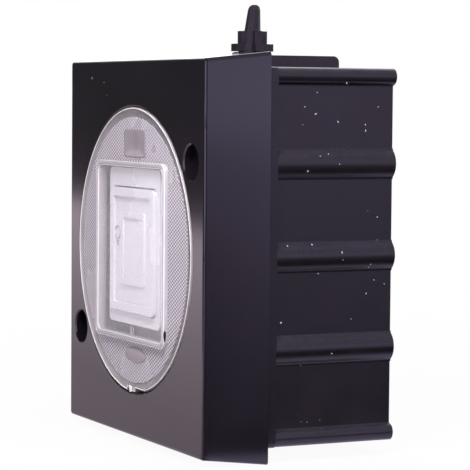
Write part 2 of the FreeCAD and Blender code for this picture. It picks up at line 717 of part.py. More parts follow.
def make_cable_gland():
    """Blind rubber grommet: a flange inside, a neck, two lugged tiers and a fluted nipple."""
    axis_y = "-dim.gland_front"
    thick = "(dim.land_height + dim.box_wall)"
    low_top = "(dim.collar_height + dim.lug_gap + dim.low_height)"
    high_top = f"({low_top} + dim.high_height)"

    def turned(name, radius, low, height):
        made = doc.addObject("Part::Cylinder", f"gland_{name}")
        made.setExpression("Radius", radius)
        made.setExpression("Height", height)
        made.setExpression("Placement.Base.y", axis_y)
        made.setExpression("Placement.Base.z", f"{LAND_TOP} + {low}")
        return made

    def lug(name, along_x, reach, width, low, height):
        made = doc.addObject("Part::Box", f"gland_{name}")
        across = (f"2 * {reach}", width) if along_x else (width, f"2 * {reach}")
        made.setExpression("Length", across[0])
        made.setExpression("Width", across[1])
        made.setExpression("Height", height)
        made.setExpression("Placement.Base.x", f"-({across[0]}) / 2")
        made.setExpression("Placement.Base.y", f"{axis_y} - ({across[1]}) / 2")
        made.setExpression("Placement.Base.z", f"{LAND_TOP} + {low}")
        return made

    lug_low = "(dim.collar_height + dim.lug_gap)"
    solids = [
        turned("flange", "dim.gland_flange", f"-({thick}) - dim.gland_flange_thick",
               "dim.gland_flange_thick"),
        turned("neck", "dim.gland_hole - dim.gland_clear", f"-({thick}) - dim.gland_flange_thick",
               f"{thick} + dim.gland_flange_thick + dim.collar_height"),
        turned("collar", "dim.collar_radius", "0", "dim.collar_height"),
        turned("low_core", "dim.low_core", "0", low_top),
        turned("high_core", "dim.high_core", low_top, "dim.high_height"),
    ]
    for name, along_x in (("x", True), ("y", False)):
        solids.append(lug(f"low_lug_{name}", along_x, "dim.low_lug", "dim.low_lug_width", lug_low,
                          "dim.low_height"))
        solids.append(lug(f"high_lug_{name}", along_x, "dim.high_lug", "dim.high_lug_width",
                          low_top, "dim.high_height"))
    nipple = doc.addObject("Part::Feature", "gland_nipple")
    length, lean, depth = value("dim.nipple_length"), value("dim.nipple_lean"), value("dim.flute_depth")
    outline = (
        ("0", "dim.nipple_base"),
        ("dim.nipple_shoulder", "dim.nipple_end"),
        ("dim.nipple_dome", "dim.nipple_dome_radius"),
        ("dim.nipple_length", "dim.nipple_tip_radius"),
    )
    rings = []
    for height, radius in outline:
        up, reach = value(height), value(radius)
        rings.append(fluted_ring(reach, reach - depth, up, lean * up / length))
    shape = Part.makeLoft(rings[:2], True, True)
    for low, high in zip(rings[1:], rings[2:]):
        shape = shape.fuse(Part.makeLoft([low, high], True, True))
    nipple.Shape = shape.removeSplitter()
    nipple.Placement = Placement(Vector(0, value(axis_y), value(f"{LAND_TOP} + {high_top}")), Rotation())
    solids.append(nipple)
    bore = turned("bore", "dim.gland_bore", f"-({thick}) - dim.gland_flange_thick",
                  f"{thick} + dim.gland_flange_thick + {high_top}")
    finished.append(cut("cable_gland", fuse("gland_outside", solids), bore))


def make_mounting_strap():
    """Pressed steel strap with two bent lips, slotted ends and a window for the switch."""
    strap = Moulding("mounting_strap")
    strap.pad(strap.outline(STRAP_SEAT, "dim.strap_width", "dim.strap_height", "dim.strap_corner"),
              "dim.strap_thick")
    lip_x = "(dim.strap_width - dim.strap_thick) / 2"
    for side in (-1, 1):
        strap.pad(strap.outline(f"{STRAP_SEAT} - dim.strap_lip", "dim.strap_thick",
                                "dim.strap_height - 2 * dim.strap_corner", "dim.strap_lip_corner",
                                f"{side} * {lip_x}"), "dim.strap_lip")
    strap.pocket(strap.outline(STRAP_FRONT, OPENING_WIDTH, OPENING_HEIGHT, "dim.body_corner"),
                 "dim.strap_thick")
    slot_half = "(dim.strap_shank + dim.screw_clear)"
    for side in (-1, 1):
        strap.pocket(strap.outline(STRAP_FRONT, "dim.strap_slot_width", f"2 * {slot_half}",
                                   f"{slot_half} - dim.strap_slot_flat",
                                   z=f"{side} * dim.post_z"), "dim.strap_thick")


def rear_screws(label, places, seat, head, head_height, shank, length):
    """Screws driven from the front: heads stand before the seat, shanks go to the rear."""
    solids = []
    for number, (x, z) in enumerate(places, start=1):
        top = rod(f"{label}_head_{number}", head, seat, head_height, x, z)
        stem = rod(f"{label}_shank_{number}", shank, f"{seat} - ({length})", length, x, z)
        solids.append(fuse(f"{label}_{number}", [top, stem]))
    group(label, solids)


def make_screws():
    """All fasteners: frame screws with their seals, ring screws and strap screws."""
    wells = [(f"{side} * dim.well_x", f"{side} * dim.well_z") for side in (-1, 1)]
    posts = [("0", f"{side} * dim.post_z") for side in (-1, 1)]
    rear_screws("bezel_screws", wells, f"{WELL_SEAT} + dim.seal_thick", "dim.screw_head",
                "dim.screw_head_height", "dim.screw_shank",
                "dim.screw_bite + dim.well_floor + dim.seal_thick")
    rear_screws("strap_screws", posts, STRAP_FRONT, "dim.strap_head", "dim.strap_head_height",
                "dim.strap_shank", "dim.strap_bite")
    seals = []
    for number, (x, z) in enumerate(wells, start=1):
        outer = rod(f"seal_outer_{number}", "dim.screw_head", WELL_SEAT, "dim.seal_thick", x, z)
        inner = rod(f"seal_inner_{number}", "dim.screw_shank + dim.thread_clear", WELL_SEAT,
                    "dim.seal_thick", x, z)
        seals.append(cut(f"seal_{number}", outer, inner))
    group("screw_seals", seals)
    small = []
    for number, (i, j) in enumerate(signs(), start=1):
        x, z = f"{i} * dim.ear_x", f"{j} * dim.ear_z"
        head = rod(f"small_head_{number}", "dim.small_head", f"{RING_REAR} - dim.small_head_height",
                   "dim.small_head_height", x, z)
        stem = rod(f"small_shank_{number}", "dim.small_shank", RING_REAR,
                   "dim.ring_thick + dim.flange_thick + dim.small_bite - dim.fit_gap", x, z)
        small.append(fuse(f"small_screw_{number}", [head, stem]))
    group("ring_screws", small)


def make_switch_cover():
    """White cover of the switch: a tower with a window for the rocker, flange and two legs."""
    cover = Moulding("switch_cover")
    height = f"({COVER_FACE} - {STRAP_FRONT})"
    cover.pad(cover.outline(STRAP_FRONT, "dim.cover_width", "dim.cover_height", "dim.cover_corner",
                            z="dim.cover_z"), height)
    cover.pad(cover.outline(STRAP_FRONT, COVER_FLANGE_WIDTH, COVER_FLANGE_HEIGHT,
                            "dim.cover_corner"), "dim.cover_flange_thick")
    cover.pocket(cover.outline(STRAP_FRONT, "dim.cover_width - 2 * dim.cover_wall",
                               "dim.cover_height - 2 * dim.cover_wall", "dim.cover_inner_corner",
                               z="dim.cover_z"), f"{height} - dim.cover_wall", rearward=False)
    cover.pocket(cover.outline(COVER_FACE, "dim.rocker_width + 2 * dim.rocker_gap",
                               "dim.rocker_height + 2 * dim.rocker_gap",
                               "dim.rocker_corner + dim.rocker_gap", z="dim.rocker_z"),
                 "dim.cover_wall")
    hole = cover.disc("0", "dim.pivot_radius + dim.pivot_play", x=f"-({PIVOT_FRONT})", z=PIVOT_Z,
                      role="YZ_Plane")
    bored = cover.pocket(hole, "dim.cover_width * 2")
    bored.Midplane = True
    leg_x = "(dim.body_width / 2 + dim.fit_gap + dim.leg_thick / 2)"
    nose_x = f"({leg_x} + (dim.leg_thick + dim.nose_reach) / 2)"
    barb_x = f"({leg_x} - (dim.leg_thick + dim.barb_reach) / 2)"
    edge = "dim.leg_corner"
    for side in (-1, 1):
        cover.pad(cover.outline(f"{STRAP_FRONT} - dim.leg_length", "dim.leg_thick", "dim.leg_width",
                                edge, f"{side} * {leg_x}"),
                  "dim.leg_length + dim.cover_flange_thick / 2")
        cover.pad(cover.outline(f"{STRAP_SEAT} - dim.nose_gap - dim.nose_length", "dim.nose_reach",
                                "dim.leg_width", edge, f"{side} * {nose_x}"), "dim.nose_length")
        cover.pad(cover.outline(BARB_REAR, "dim.barb_reach", "dim.barb_width", edge,
                                f"{side} * {barb_x}"), "dim.barb_length")


def make_rocker():
    """Press key: a tray with a raised rim, a framed panel, two trunnions and a presser."""
    rocker = Moulding("rocker")
    rear = f"({ROCKER_REAR} - dim.skirt_length)"
    rocker.pad(rocker.outline(rear, "dim.rocker_width", "dim.rocker_height", "dim.rocker_corner",
                              z="dim.rocker_z"), f"{ROCKER_FACE} + dim.rim_raise - {rear}")
    rocker.pocket(rocker.outline(f"{ROCKER_FACE} + dim.rim_raise",
                                 "dim.rocker_width - 2 * dim.rim_width",
                                 "dim.rocker_height - 2 * dim.rim_width", "dim.rocker_inner_corner",
                                 z="dim.rocker_z"), "dim.rim_raise")
    rocker.pad(rocker.outline(ROCKER_FACE, "dim.panel_width", "dim.panel_height",
                              "dim.rocker_inner_corner"), "dim.panel_raise")
    rocker.pocket(rocker.outline(f"{ROCKER_FACE} + dim.panel_raise",
                                 "dim.panel_width - 2 * dim.panel_frame",
                                 "dim.panel_height - 2 * dim.panel_frame",
                                 "dim.rocker_small_corner"),
                  "dim.panel_recess")
    rocker.pocket(rocker.outline(rear, "dim.rocker_width - 2 * dim.skirt_wall",
                                 "dim.rocker_height - 2 * dim.skirt_wall", "dim.rocker_inner_corner",
                                 z="dim.rocker_z"), "dim.skirt_length", rearward=False)
    rocker.pad(rocker.outline(PRESSER_REAR, "dim.presser_width", "dim.presser_height",
                              "dim.rocker_small_corner", z="dim.plunger_z"),
               f"{ROCKER_REAR} - {PRESSER_REAR}")
    for side in (-1, 1):
        start = "dim.rocker_width / 2 - dim.skirt_wall / 2"
        pin = rocker.disc(f"{side} * ({start})", "dim.pivot_radius", x=f"-({PIVOT_FRONT})", z=PIVOT_Z,
                          role="YZ_Plane")
        rocker.pad(pin, "dim.pivot_reach + dim.skirt_wall / 2", rearward=side < 0)


def make_switch_body():
    """Rear housing of the switch, with a guide deck, a spring pin and terminal openings."""
    body = Moulding("switch_body")
    body.pad(body.outline(BODY_REAR, "dim.body_width", "dim.body_height", "dim.body_corner"),
             f"{STRAP_FRONT} - {BODY_REAR}")
    inner_w = "(dim.body_width - 2 * dim.body_wall)"
    body.pocket(body.outline(BODY_FLOOR, inner_w, "dim.body_height - 2 * dim.body_wall",
                             "dim.cover_inner_corner"), f"{STRAP_FRONT} - {BODY_FLOOR}", rearward=False)
    body.pad(body.outline(f"{DECK_FRONT} - dim.deck_thick", f"{inner_w} + dim.body_wall",
                          "dim.deck_height", "dim.deck_corner", z="dim.plunger_z"),
             "dim.deck_thick")
    body.pocket(body.disc(DECK_FRONT, "dim.plunger_stem + dim.plunger_play", z="dim.plunger_z"),
                "dim.deck_thick")
    body.pad(body.disc(BODY_FLOOR, "dim.spring_pin", z="dim.plunger_z"), "dim.spring_pin_height")
    for side in (-1, 1):
        body.pocket(body.disc(BODY_FLOOR, "dim.lead_mouth", f"{side} * {CLAMP_X}", "dim.plunger_z"),
                    "dim.body_floor")
        body.pocket(body.outline(f"{BARB_REAR} + dim.barb_length + dim.fit_gap",
                                 "2 * (dim.barb_reach + dim.fit_gap)",
                                 "dim.barb_width + 2 * dim.fit_gap", "dim.pocket_corner",
                                 f"{side} * dim.body_width / 2"),
                    "dim.barb_length + 2 * dim.fit_gap")
    mouth = body.disc("0", "dim.clamp_screw_mouth", x=f"-{CLAMP_SCREW_FRONT}", z="dim.plunger_z",
                      role="YZ_Plane")
    bored = body.pocket(mouth, "dim.body_width * 2")
    bored.Midplane = True


def make_plunger():
    """Turned pusher: head under the rocker, stem in the deck and a neck for the bridge."""
    head_front = f"({PRESSER_REAR} - dim.plunger_gap)"
    head_rear = f"({head_front} - dim.plunger_head_thick)"
    solids = [
        rod("plunger_top", "dim.plunger_head", head_rear, "dim.plunger_head_thick", z="dim.plunger_z"),
        rod("plunger_shaft", "dim.plunger_stem", SHOULDER_FRONT,
            f"{head_rear} - {SHOULDER_FRONT}", z="dim.plunger_z"),
        rod("plunger_neck", "dim.neck_radius", f"{SHOULDER_FRONT} - dim.neck_length",
            "dim.neck_length", z="dim.plunger_z"),
    ]
    finished.append(fuse("plunger", solids))


def make_return_spring():
    """Compression spring between the housing floor and the bridge, as short straight chords."""
    wire, radius = value("dim.wire_radius"), value("dim.coil_radius")
    start = value(f"{BODY_FLOOR} + dim.coil_gap") + wire
    end = value(f"{BRIDGE_REAR} - dim.coil_gap") - wire
    chords = value("dim.coil_chords")
    steps = round(value("dim.coil_turns") * chords)
    points = []
    for step in range(steps + 1):
        angle = 2 * math.pi * step / chords
        front = start + (end - start) * step / steps
        points.append(Vector(radius * math.cos(angle), -front, radius * math.sin(angle)))
    path = Part.makePolygon(points)
    heading = points[1] - points[0]
    section = Part.Wire([Part.Circle(points[0], heading, wire).toShape()])
    spring = doc.addObject("Part::Feature", "return_spring")
    spring.Shape = path.makePipeShell([section], True, False, 1)
    spring.Placement = Placement(Vector(0, 0, value("dim.plunger_z")), Rotation())
    finished.append(spring)


def make_contacts():
    """Bridge with its tips, and the two fixed contacts with theirs."""
    bridge = Moulding("contact_bridge")
    bridge.pad(bridge.outline(BRIDGE_REAR, f"2 * ({CONTACT_X} + dim.bridge_overhang)",
                              "dim.bridge_width",
                              "dim.bridge_corner", z="dim.plunger_z"), "dim.bridge_thick")
    bridge.pocket(bridge.disc(BRIDGE_REAR, "dim.neck_radius + dim.thread_clear", z="dim.plunger_z"),
                  "dim.bridge_thick", rearward=False)
    tips, pads = [], []
    for side in (-1, 1):
        x = f"{side} * {CONTACT_X}"
        tips.append(rod(f"moving_tip_{side + 2}", "dim.contact_radius", MOVING_TIP,
                        "dim.contact_thick", x, "dim.plunger_z"))
        pads.append(rod(f"fixed_tip_{side + 2}", "dim.contact_radius", STRIP_FRONT,
                        "dim.contact_thick", x, "dim.plunger_z"))
    group("bridge_tips", tips)
    group("fixed_tips", pads)
    tab_length = f"({CLAMP_START} - {TAB_START})"
    strip_rear = f"({STRIP_FRONT} - dim.strip_thick)"
    for side, name in ((-1, "left"), (1, "right")):
        tab = block(f"tab_{name}", f"{side} * ({TAB_START} + {tab_length} / 2)", strip_rear,
                    "dim.plunger_z", tab_length, "dim.strip_thick", "dim.strip_width")
        leg = block(f"leg_{name}", f"{side} * ({CLAMP_START} - dim.strip_thick / 2)", BODY_FLOOR,
                    "dim.plunger_z", "dim.strip_thick", f"{STRIP_FRONT} - {BODY_FLOOR}",
                    "dim.strip_width")
        finished.append(fuse(f"fixed_contact_{name}", [tab, leg]))


def make_terminals():
    """Brass clamp blocks with a lead bore and a side screw each."""
    clamps, screws = [], []
    for side in (-1, 1):
        mark = side + 2
        body = block(f"clamp_body_{mark}", f"{side} * {CLAMP_X}", BODY_FLOOR, "dim.plunger_z",
                     "dim.clamp_width", "dim.clamp_depth", "dim.clamp_height")
        lead = rod(f"clamp_lead_{mark}", "dim.lead_bore", BODY_FLOOR, "dim.clamp_depth",
                   f"{side} * {CLAMP_X}", "dim.plunger_z")
        thread = cross_rod(f"clamp_thread_{mark}", "dim.clamp_screw_shank + dim.thread_clear", CLAMP_X,
                           "dim.clamp_width / 2", CLAMP_SCREW_FRONT, "dim.plunger_z", side)
        clamps.append(cut(f"clamp_{mark}", body, fuse(f"clamp_holes_{mark}", [lead, thread])))
        head = cross_rod(f"clamp_head_{mark}", "dim.clamp_screw_head", f"{CLAMP_END} + dim.fit_gap",
                         "dim.clamp_screw_head_height", CLAMP_SCREW_FRONT, "dim.plunger_z", side)
        stem = cross_rod(f"clamp_stem_{mark}", "dim.clamp_screw_shank",
                         f"{CLAMP_END} - dim.clamp_screw_reach",
                         "dim.clamp_screw_reach + dim.fit_gap", CLAMP_SCREW_FRONT,
                         "dim.plunger_z", side)
        screws.append(fuse(f"clamp_screw_{mark}", [head, stem]))
    group("terminal_clamps", clamps)
    group("terminal_screws", screws)


def check_document():
    """Stops the build if any feature failed or any finished piece isn't a sound solid."""
    for item in doc.Objects:
        if "Invalid" in item.State or "Error" in item.State:
            raise RuntimeError(f"{item.Label} did not build: {item.State}")
    for piece in finished:
        shape = piece.Shape
        if shape.isNull() or not shape.isValid() or not shape.Solids:
            raise RuntimeError(f"{piece.Label} is not a sound solid")


def write_pieces():
    """Writes each finished piece to its own file."""
    os.makedirs("parts", exist_ok=True)
    for piece in finished:
        piece.Shape.exportStep(os.path.join("parts", f"{piece.Label}.step"))
        print(f"{piece.Label}: {len(piece.Shape.Solids)} solid, {piece.Shape.Volume:.2f} mm3")


fill_sheet()
make_back_box()
make_front_bezel()
make_clear_membrane()
make_retaining_ring()
make_bezel_gasket()
make_cable_gland()
make_mounting_strap()
make_screws()
make_switch_cover()
make_rocker()
make_switch_body()
make_plunger()
make_return_spring()
make_contacts()
make_terminals()
doc.recompute()
check_document()
write_pieces()
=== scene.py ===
"""Dresses the weatherproof press switch: studio, finishes and the fine moulded detail.

All lengths in the classes are millimetres in the part's own frame: the rear face lies at
y = 0, the face of the switch looks towards -Y, and +Z is up. They are turned to metres when
a mesh is made. A "front" is a distance before the rear face, so it lies at y = -front.
"""
import logging
import math
from collections.abc import Callable
from dataclasses import dataclass
from enum import Enum

import bmesh
import bpy
import numpy as np
from mathutils import Matrix, Vector

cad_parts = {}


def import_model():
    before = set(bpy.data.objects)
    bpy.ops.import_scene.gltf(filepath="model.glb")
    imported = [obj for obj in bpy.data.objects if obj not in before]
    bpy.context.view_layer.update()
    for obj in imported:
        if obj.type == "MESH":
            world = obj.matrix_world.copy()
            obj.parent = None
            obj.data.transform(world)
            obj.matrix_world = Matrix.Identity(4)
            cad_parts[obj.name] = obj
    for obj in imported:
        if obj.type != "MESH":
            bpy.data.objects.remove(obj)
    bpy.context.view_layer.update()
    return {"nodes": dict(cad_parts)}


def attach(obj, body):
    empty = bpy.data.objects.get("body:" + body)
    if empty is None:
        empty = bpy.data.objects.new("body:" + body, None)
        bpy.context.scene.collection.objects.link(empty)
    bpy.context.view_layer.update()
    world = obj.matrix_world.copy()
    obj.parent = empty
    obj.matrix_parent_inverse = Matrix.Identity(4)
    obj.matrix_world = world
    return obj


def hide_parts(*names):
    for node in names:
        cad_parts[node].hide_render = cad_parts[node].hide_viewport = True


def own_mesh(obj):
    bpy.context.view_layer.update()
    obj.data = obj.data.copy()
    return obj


LOG = logging.getLogger("press_switch")
MM = 0.001
FULL_TURN = 2 * math.pi

# Vertices nearer than this are one, and edges shorter than this are dropped, in metres.
MERGE_M = 1e-7
COLLAPSE_M = 1e-8

# These keep a length from being divided by nothing where a ray runs level or upright.
TINY = 1e-9
LEAST_SINE = 0.1

# A bead's round crown takes up no more than this share of its height.
CROWN_SHARE = 0.7

# An island's broken upper edge: its height in mm, and the share of the outline at its top.
ISLAND_EDGE = 0.05
ISLAND_TOP = 0.92

# Soft noise lies nearly always between these two values.
NOISE_SPAN = (0.3, 0.7)

# A colour Mix node's sockets: factor, first colour, second colour, and the result.
MIX_SHARE, MIX_UNDER, MIX_OVER, MIX_RESULT = 0, 6, 7, 2

Array = np.ndarray
Colour = tuple[float, float, float, float]

# A place in space, a direction, a flat place, half a width with half a height, and a range.
Spot = tuple[float, float, float]
Direction = tuple[float, float, float]
Point = tuple[float, float]
Halves = tuple[float, float]
Span = tuple[float, float]

# Pairs of a place or share and its value, the same with colours, and a speck of dust.
Stops = tuple[tuple[float, float], ...]
ColourStops = list[tuple[float, Colour]]
Flake = tuple[float, float, float, float]

WHITE: Colour = (1.0, 1.0, 1.0, 1.0)


class Body(Enum):
    """The bodies of the part that the pieces made here ride on."""

    HOUSING = "housing"
    KEY = "key"


def linear(hex_colour: str) -> Colour:
    """Turns an sRGB hex colour to linear light.

    Args:
        hex_colour: six hex digits after a #.

    Returns:
        Red, green, blue and a full alpha for a colour socket.
    """
    digits = hex_colour.lstrip("#")
    parts = [int(digits[i:i + 2], 16) / 255 for i in (0, 2, 4)]
    light = [c / 12.92 if c <= 0.04045 else ((c + 0.055) / 1.055) ** 2.4 for c in parts]
    return (light[0], light[1], light[2], 1.0)


def warm_grey(level: float) -> Colour:
    """A near-neutral colour with a little less green, at a linear level."""
    return (level, level * 0.82, level * 0.95, 1.0)


def blue_haze(level: float) -> Colour:
    """A bluish colour at a linear level."""
    return (level, level * 0.9, level * 1.42, 1.0)


def plain_grey(level: float) -> Colour:
    """A neutral colour at a linear level."""
    return (level, level, level, 1.0)


def tinted(stops: Stops, tint: Callable[[float], Colour]) -> ColourStops:
    """Gives each stop's level the colour that a tint makes of it."""
    return [(where, tint(level)) for where, level in stops]


def add_node(tree: bpy.types.NodeTree, kind: str, settings: dict | None = None,
             inputs: dict | None = None) -> bpy.types.Node:
    """Adds one node with its settings and links.

    Args:
        tree: the node tree.
        kind: the node's type name.
        settings: attribute name to value.
        inputs: socket name or index to a value, or to an output socket to link from.

    Returns:
        The new node.
    """
    node = tree.nodes.new(kind)
    for name, value in (settings or {}).items():
        setattr(node, name, value)
    for name, value in (inputs or {}).items():
        socket = node.inputs[name]
        if isinstance(value, bpy.types.NodeSocket):
            tree.links.new(value, socket)
        else:
            socket.default_value = value
    return node


def set_ramp(node: bpy.types.Node, stops: ColourStops) -> None:
    """Sets a colour ramp's stops.

    Args:
        node: the colour ramp node.
        stops: each stop's place, from 0 to 1, and its colour.
    """
    ramp = node.color_ramp
    while len(ramp.elements) > 1:
        ramp.elements.remove(ramp.elements[-1])
    ramp.elements[0].position, ramp.elements[0].color = stops[0]
    for where, colour in stops[1:]:
        ramp.elements.new(where).color = colour


@dataclass
class Grid:
    """A surface sampled on a grid of two parameters, rows by columns by xyz, in mm."""

    points: Array
    close_rows: bool = False
    close_cols: bool = False

    def faces(self, offset: int = 0) -> Array:
        """Lists the quads between neighbouring samples.

        Args:
            offset: the number of the grid's first vertex in its mesh.

        Returns:
            Rows of four vertex numbers.
        """
        rows, cols = self.points.shape[:2]
        row, col = np.meshgrid(np.arange(rows if self.close_rows else rows - 1),
                               np.arange(cols if self.close_cols else cols - 1), indexing="ij")
        up, side = (row + 1) % rows, (col + 1) % cols
        quads = np.stack([row * cols + col, row * cols + side,
                          up * cols + side, up * cols + col], -1)
        return quads.reshape(-1, 4) + offset


def merge_and_turn(mesh: bpy.types.Mesh) -> None:
    """Merges doubles, drops collapsed faces and turns every face outwards.

    Args:
        mesh: the mesh, which is changed in place.
    """
    work = bmesh.new()
    work.from_mesh(mesh)
    bmesh.ops.remove_doubles(work, verts=work.verts, dist=MERGE_M)
    bmesh.ops.dissolve_degenerate(work, edges=work.edges, dist=COLLAPSE_M)
    bmesh.ops.recalc_face_normals(work, faces=work.faces)
    work.to_mesh(mesh)
    work.free()


def make_piece(name: str, grids: list[Grid], finish: bpy.types.Material, body: Body,
               smooth: bool = True) -> bpy.types.Object:
    """Puts grids into one mesh object that rides on a body.

    Args:
        name: the piece's name.
        grids: the surfaces it is made of.
        finish: its material.
        body: the body it rides on.
        smooth: whether its faces shade smoothly.

    Returns:
        The linked object.
    """
    points, faces, offset = [], [], 0
    for grid in grids:
        flat = grid.points.reshape(-1, 3)
        points.append(flat)
        faces.append(grid.faces(offset))
        offset += len(flat)
    mesh = bpy.data.meshes.new(name)
    mesh.from_pydata((np.concatenate(points) * MM).tolist(), [], np.concatenate(faces).tolist())
    merge_and_turn(mesh)
    mesh.polygons.foreach_set("use_smooth", np.full(len(mesh.polygons), smooth))
    mesh.materials.append(finish)
    mesh.update()
    piece = bpy.data.objects.new(name, mesh)
    bpy.context.scene.collection.objects.link(piece)
    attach(piece, body.value)
    return piece


def angles(count: int) -> Array:
    """Even angles round a full turn, the first one at 0."""
    return np.linspace(0, FULL_TURN, count, endpoint=False)


def rounded_rectangle(half_w: float, half_h: float, corner: float, turn: Array) -> Array:
    """Points of a rounded rectangle, found where rays at the given angles leave it.

    The ray from the middle at angle t meets the side x = half_w or z = half_h, and in a
    corner it meets the circle of radius corner about the corner's own centre.

    Args:
        half_w: half its width.
        half_h: half its height.
        corner: the radius of its corners.
        turn: the angles of the rays.

    Returns:
        x and z of each point, as rows of two.
    """
    ray = np.stack([np.cos(turn), np.sin(turn)], -1)
    reach = np.minimum(half_w / np.maximum(np.abs(ray[:, 0]), TINY),
                       half_h / np.maximum(np.abs(ray[:, 1]), TINY))
    point = ray * reach[:, None]
    centre = np.sign(ray) * np.array([half_w - corner, half_h - corner])
    past = np.all(np.abs(point) > np.abs(centre), axis=1)
    along = np.sum(ray * centre, axis=1)
    off = np.maximum(along ** 2 - np.sum(centre ** 2, axis=1) + corner ** 2, 0.0)
    bent = ray * (along + np.sqrt(off))[:, None]
    return np.where(past[:, None], bent, point)


def at_front(flat: Array, front: Array | float) -> Array:
    """Sets flat points (x, z) at their distances before the rear face, so y = -front."""
    return np.stack([flat[..., 0], np.broadcast_to(-front, flat.shape[:-1]), flat[..., 1]], -1)


def side_of(ahead: Array) -> Array:
    """The unit normals on the right of a flat path's directions."""
    normal = np.stack([ahead[:, 1], -ahead[:, 0]], -1)
    return normal / np.linalg.norm(normal, axis=1)[:, None]


def sweep(profile: Array, path: Array, normal: Array) -> Array:
    """Sets a profile at each point of a flat path.

    Each path point is moved along its normal by the profile's first value and gets its
    second as the front.

    Args:
        profile: rows of (offset along the normal, front).
        path: rows of (x, z).
        normal: the unit normal at each path point.

    Returns:
        Points, path by profile by xyz.
    """
    flat = path[:, None, :] + normal[:, None, :] * profile[None, :, 0, None]
    return at_front(flat, profile[None, :, 1])


def carry(profile: Array, path: Array) -> Grid:
    """A closed profile carried round a closed flat path, as a picture frame's moulding is.

    The path's direction at a point is the step from its neighbour before to the one after.

    Args:
        profile: rows of (outward offset, front).
        path: rows of (x, z).

    Returns:
        The closed tube.
    """
    ahead = np.roll(path, -1, axis=0) - np.roll(path, 1, axis=0)
    return Grid(sweep(profile, path, side_of(ahead)), True, True)


def strip(path: Array, width: float, low: float, high: float) -> Grid:
    """A square-topped ridge of even width along an open path, closed at both ends.

    Its section is a rectangle from low to high, and each end shrinks to a point.

    Args:
        path: rows of (x, z).
        width: the ridge's width.
        low: the front of its foot.
        high: the front of its top.

    Returns:
        The closed ridge.
    """
    half = width / 2
    section = np.array([[half, low], [half, high], [-half, high], [-half, low]])
    points = sweep(section, path, side_of(np.gradient(path, axis=0)))
    ends = [np.repeat(points[[n]].mean(1, keepdims=True), len(section), 1) for n in (0, -1)]
    return Grid(np.concatenate([ends[0], points, ends[1]]), False, True)


def bead(width: float, low: float, high: float, steps: int = 9) -> Array:
    """A ridge's closed section: flat foot, straight flanks and a round crown.

    The crown is half an ellipse of the given width whose top is at high. Its height is half
    the width, or CROWN_SHARE of the ridge's height if that is less.

    Args:
        width: the ridge's width.
        low: the front of its foot.
        high: the front of its crown.
        steps: how many points the crown has.

    Returns:
        Rows of (offset, front).
    """
    turn = np.linspace(0.0, math.pi, steps)
    rise = min(width / 2, (high - low) * CROWN_SHARE)
    crown = np.stack([width / 2 * np.cos(turn), high - rise + rise * np.sin(turn)], -1)
    return np.concatenate([[[width / 2, low]], crown, [[-width / 2, low]]])


def slab(outline: Array, low: float, high: float) -> Grid:
    """A low island over a closed outline, with a broken upper edge.

    The outline is drawn in towards its own middle: not at all up the sides, to a share of
    ISLAND_TOP across the broken edge, and to the middle itself in both faces.

    Args:
        outline: rows of (x, z).
        low: the front of its foot.
        high: the front of its top.

    Returns:
        The closed island.
    """
    middle = np.broadcast_to(outline.mean(axis=0), outline.shape)
    rings = [(middle, low), (outline, low), (outline, high - ISLAND_EDGE),
             (middle + (outline - middle) * ISLAND_TOP, high), (middle, high)]
    return Grid(np.stack([at_front(ring, front) for ring, front in rings], 1), True, False)


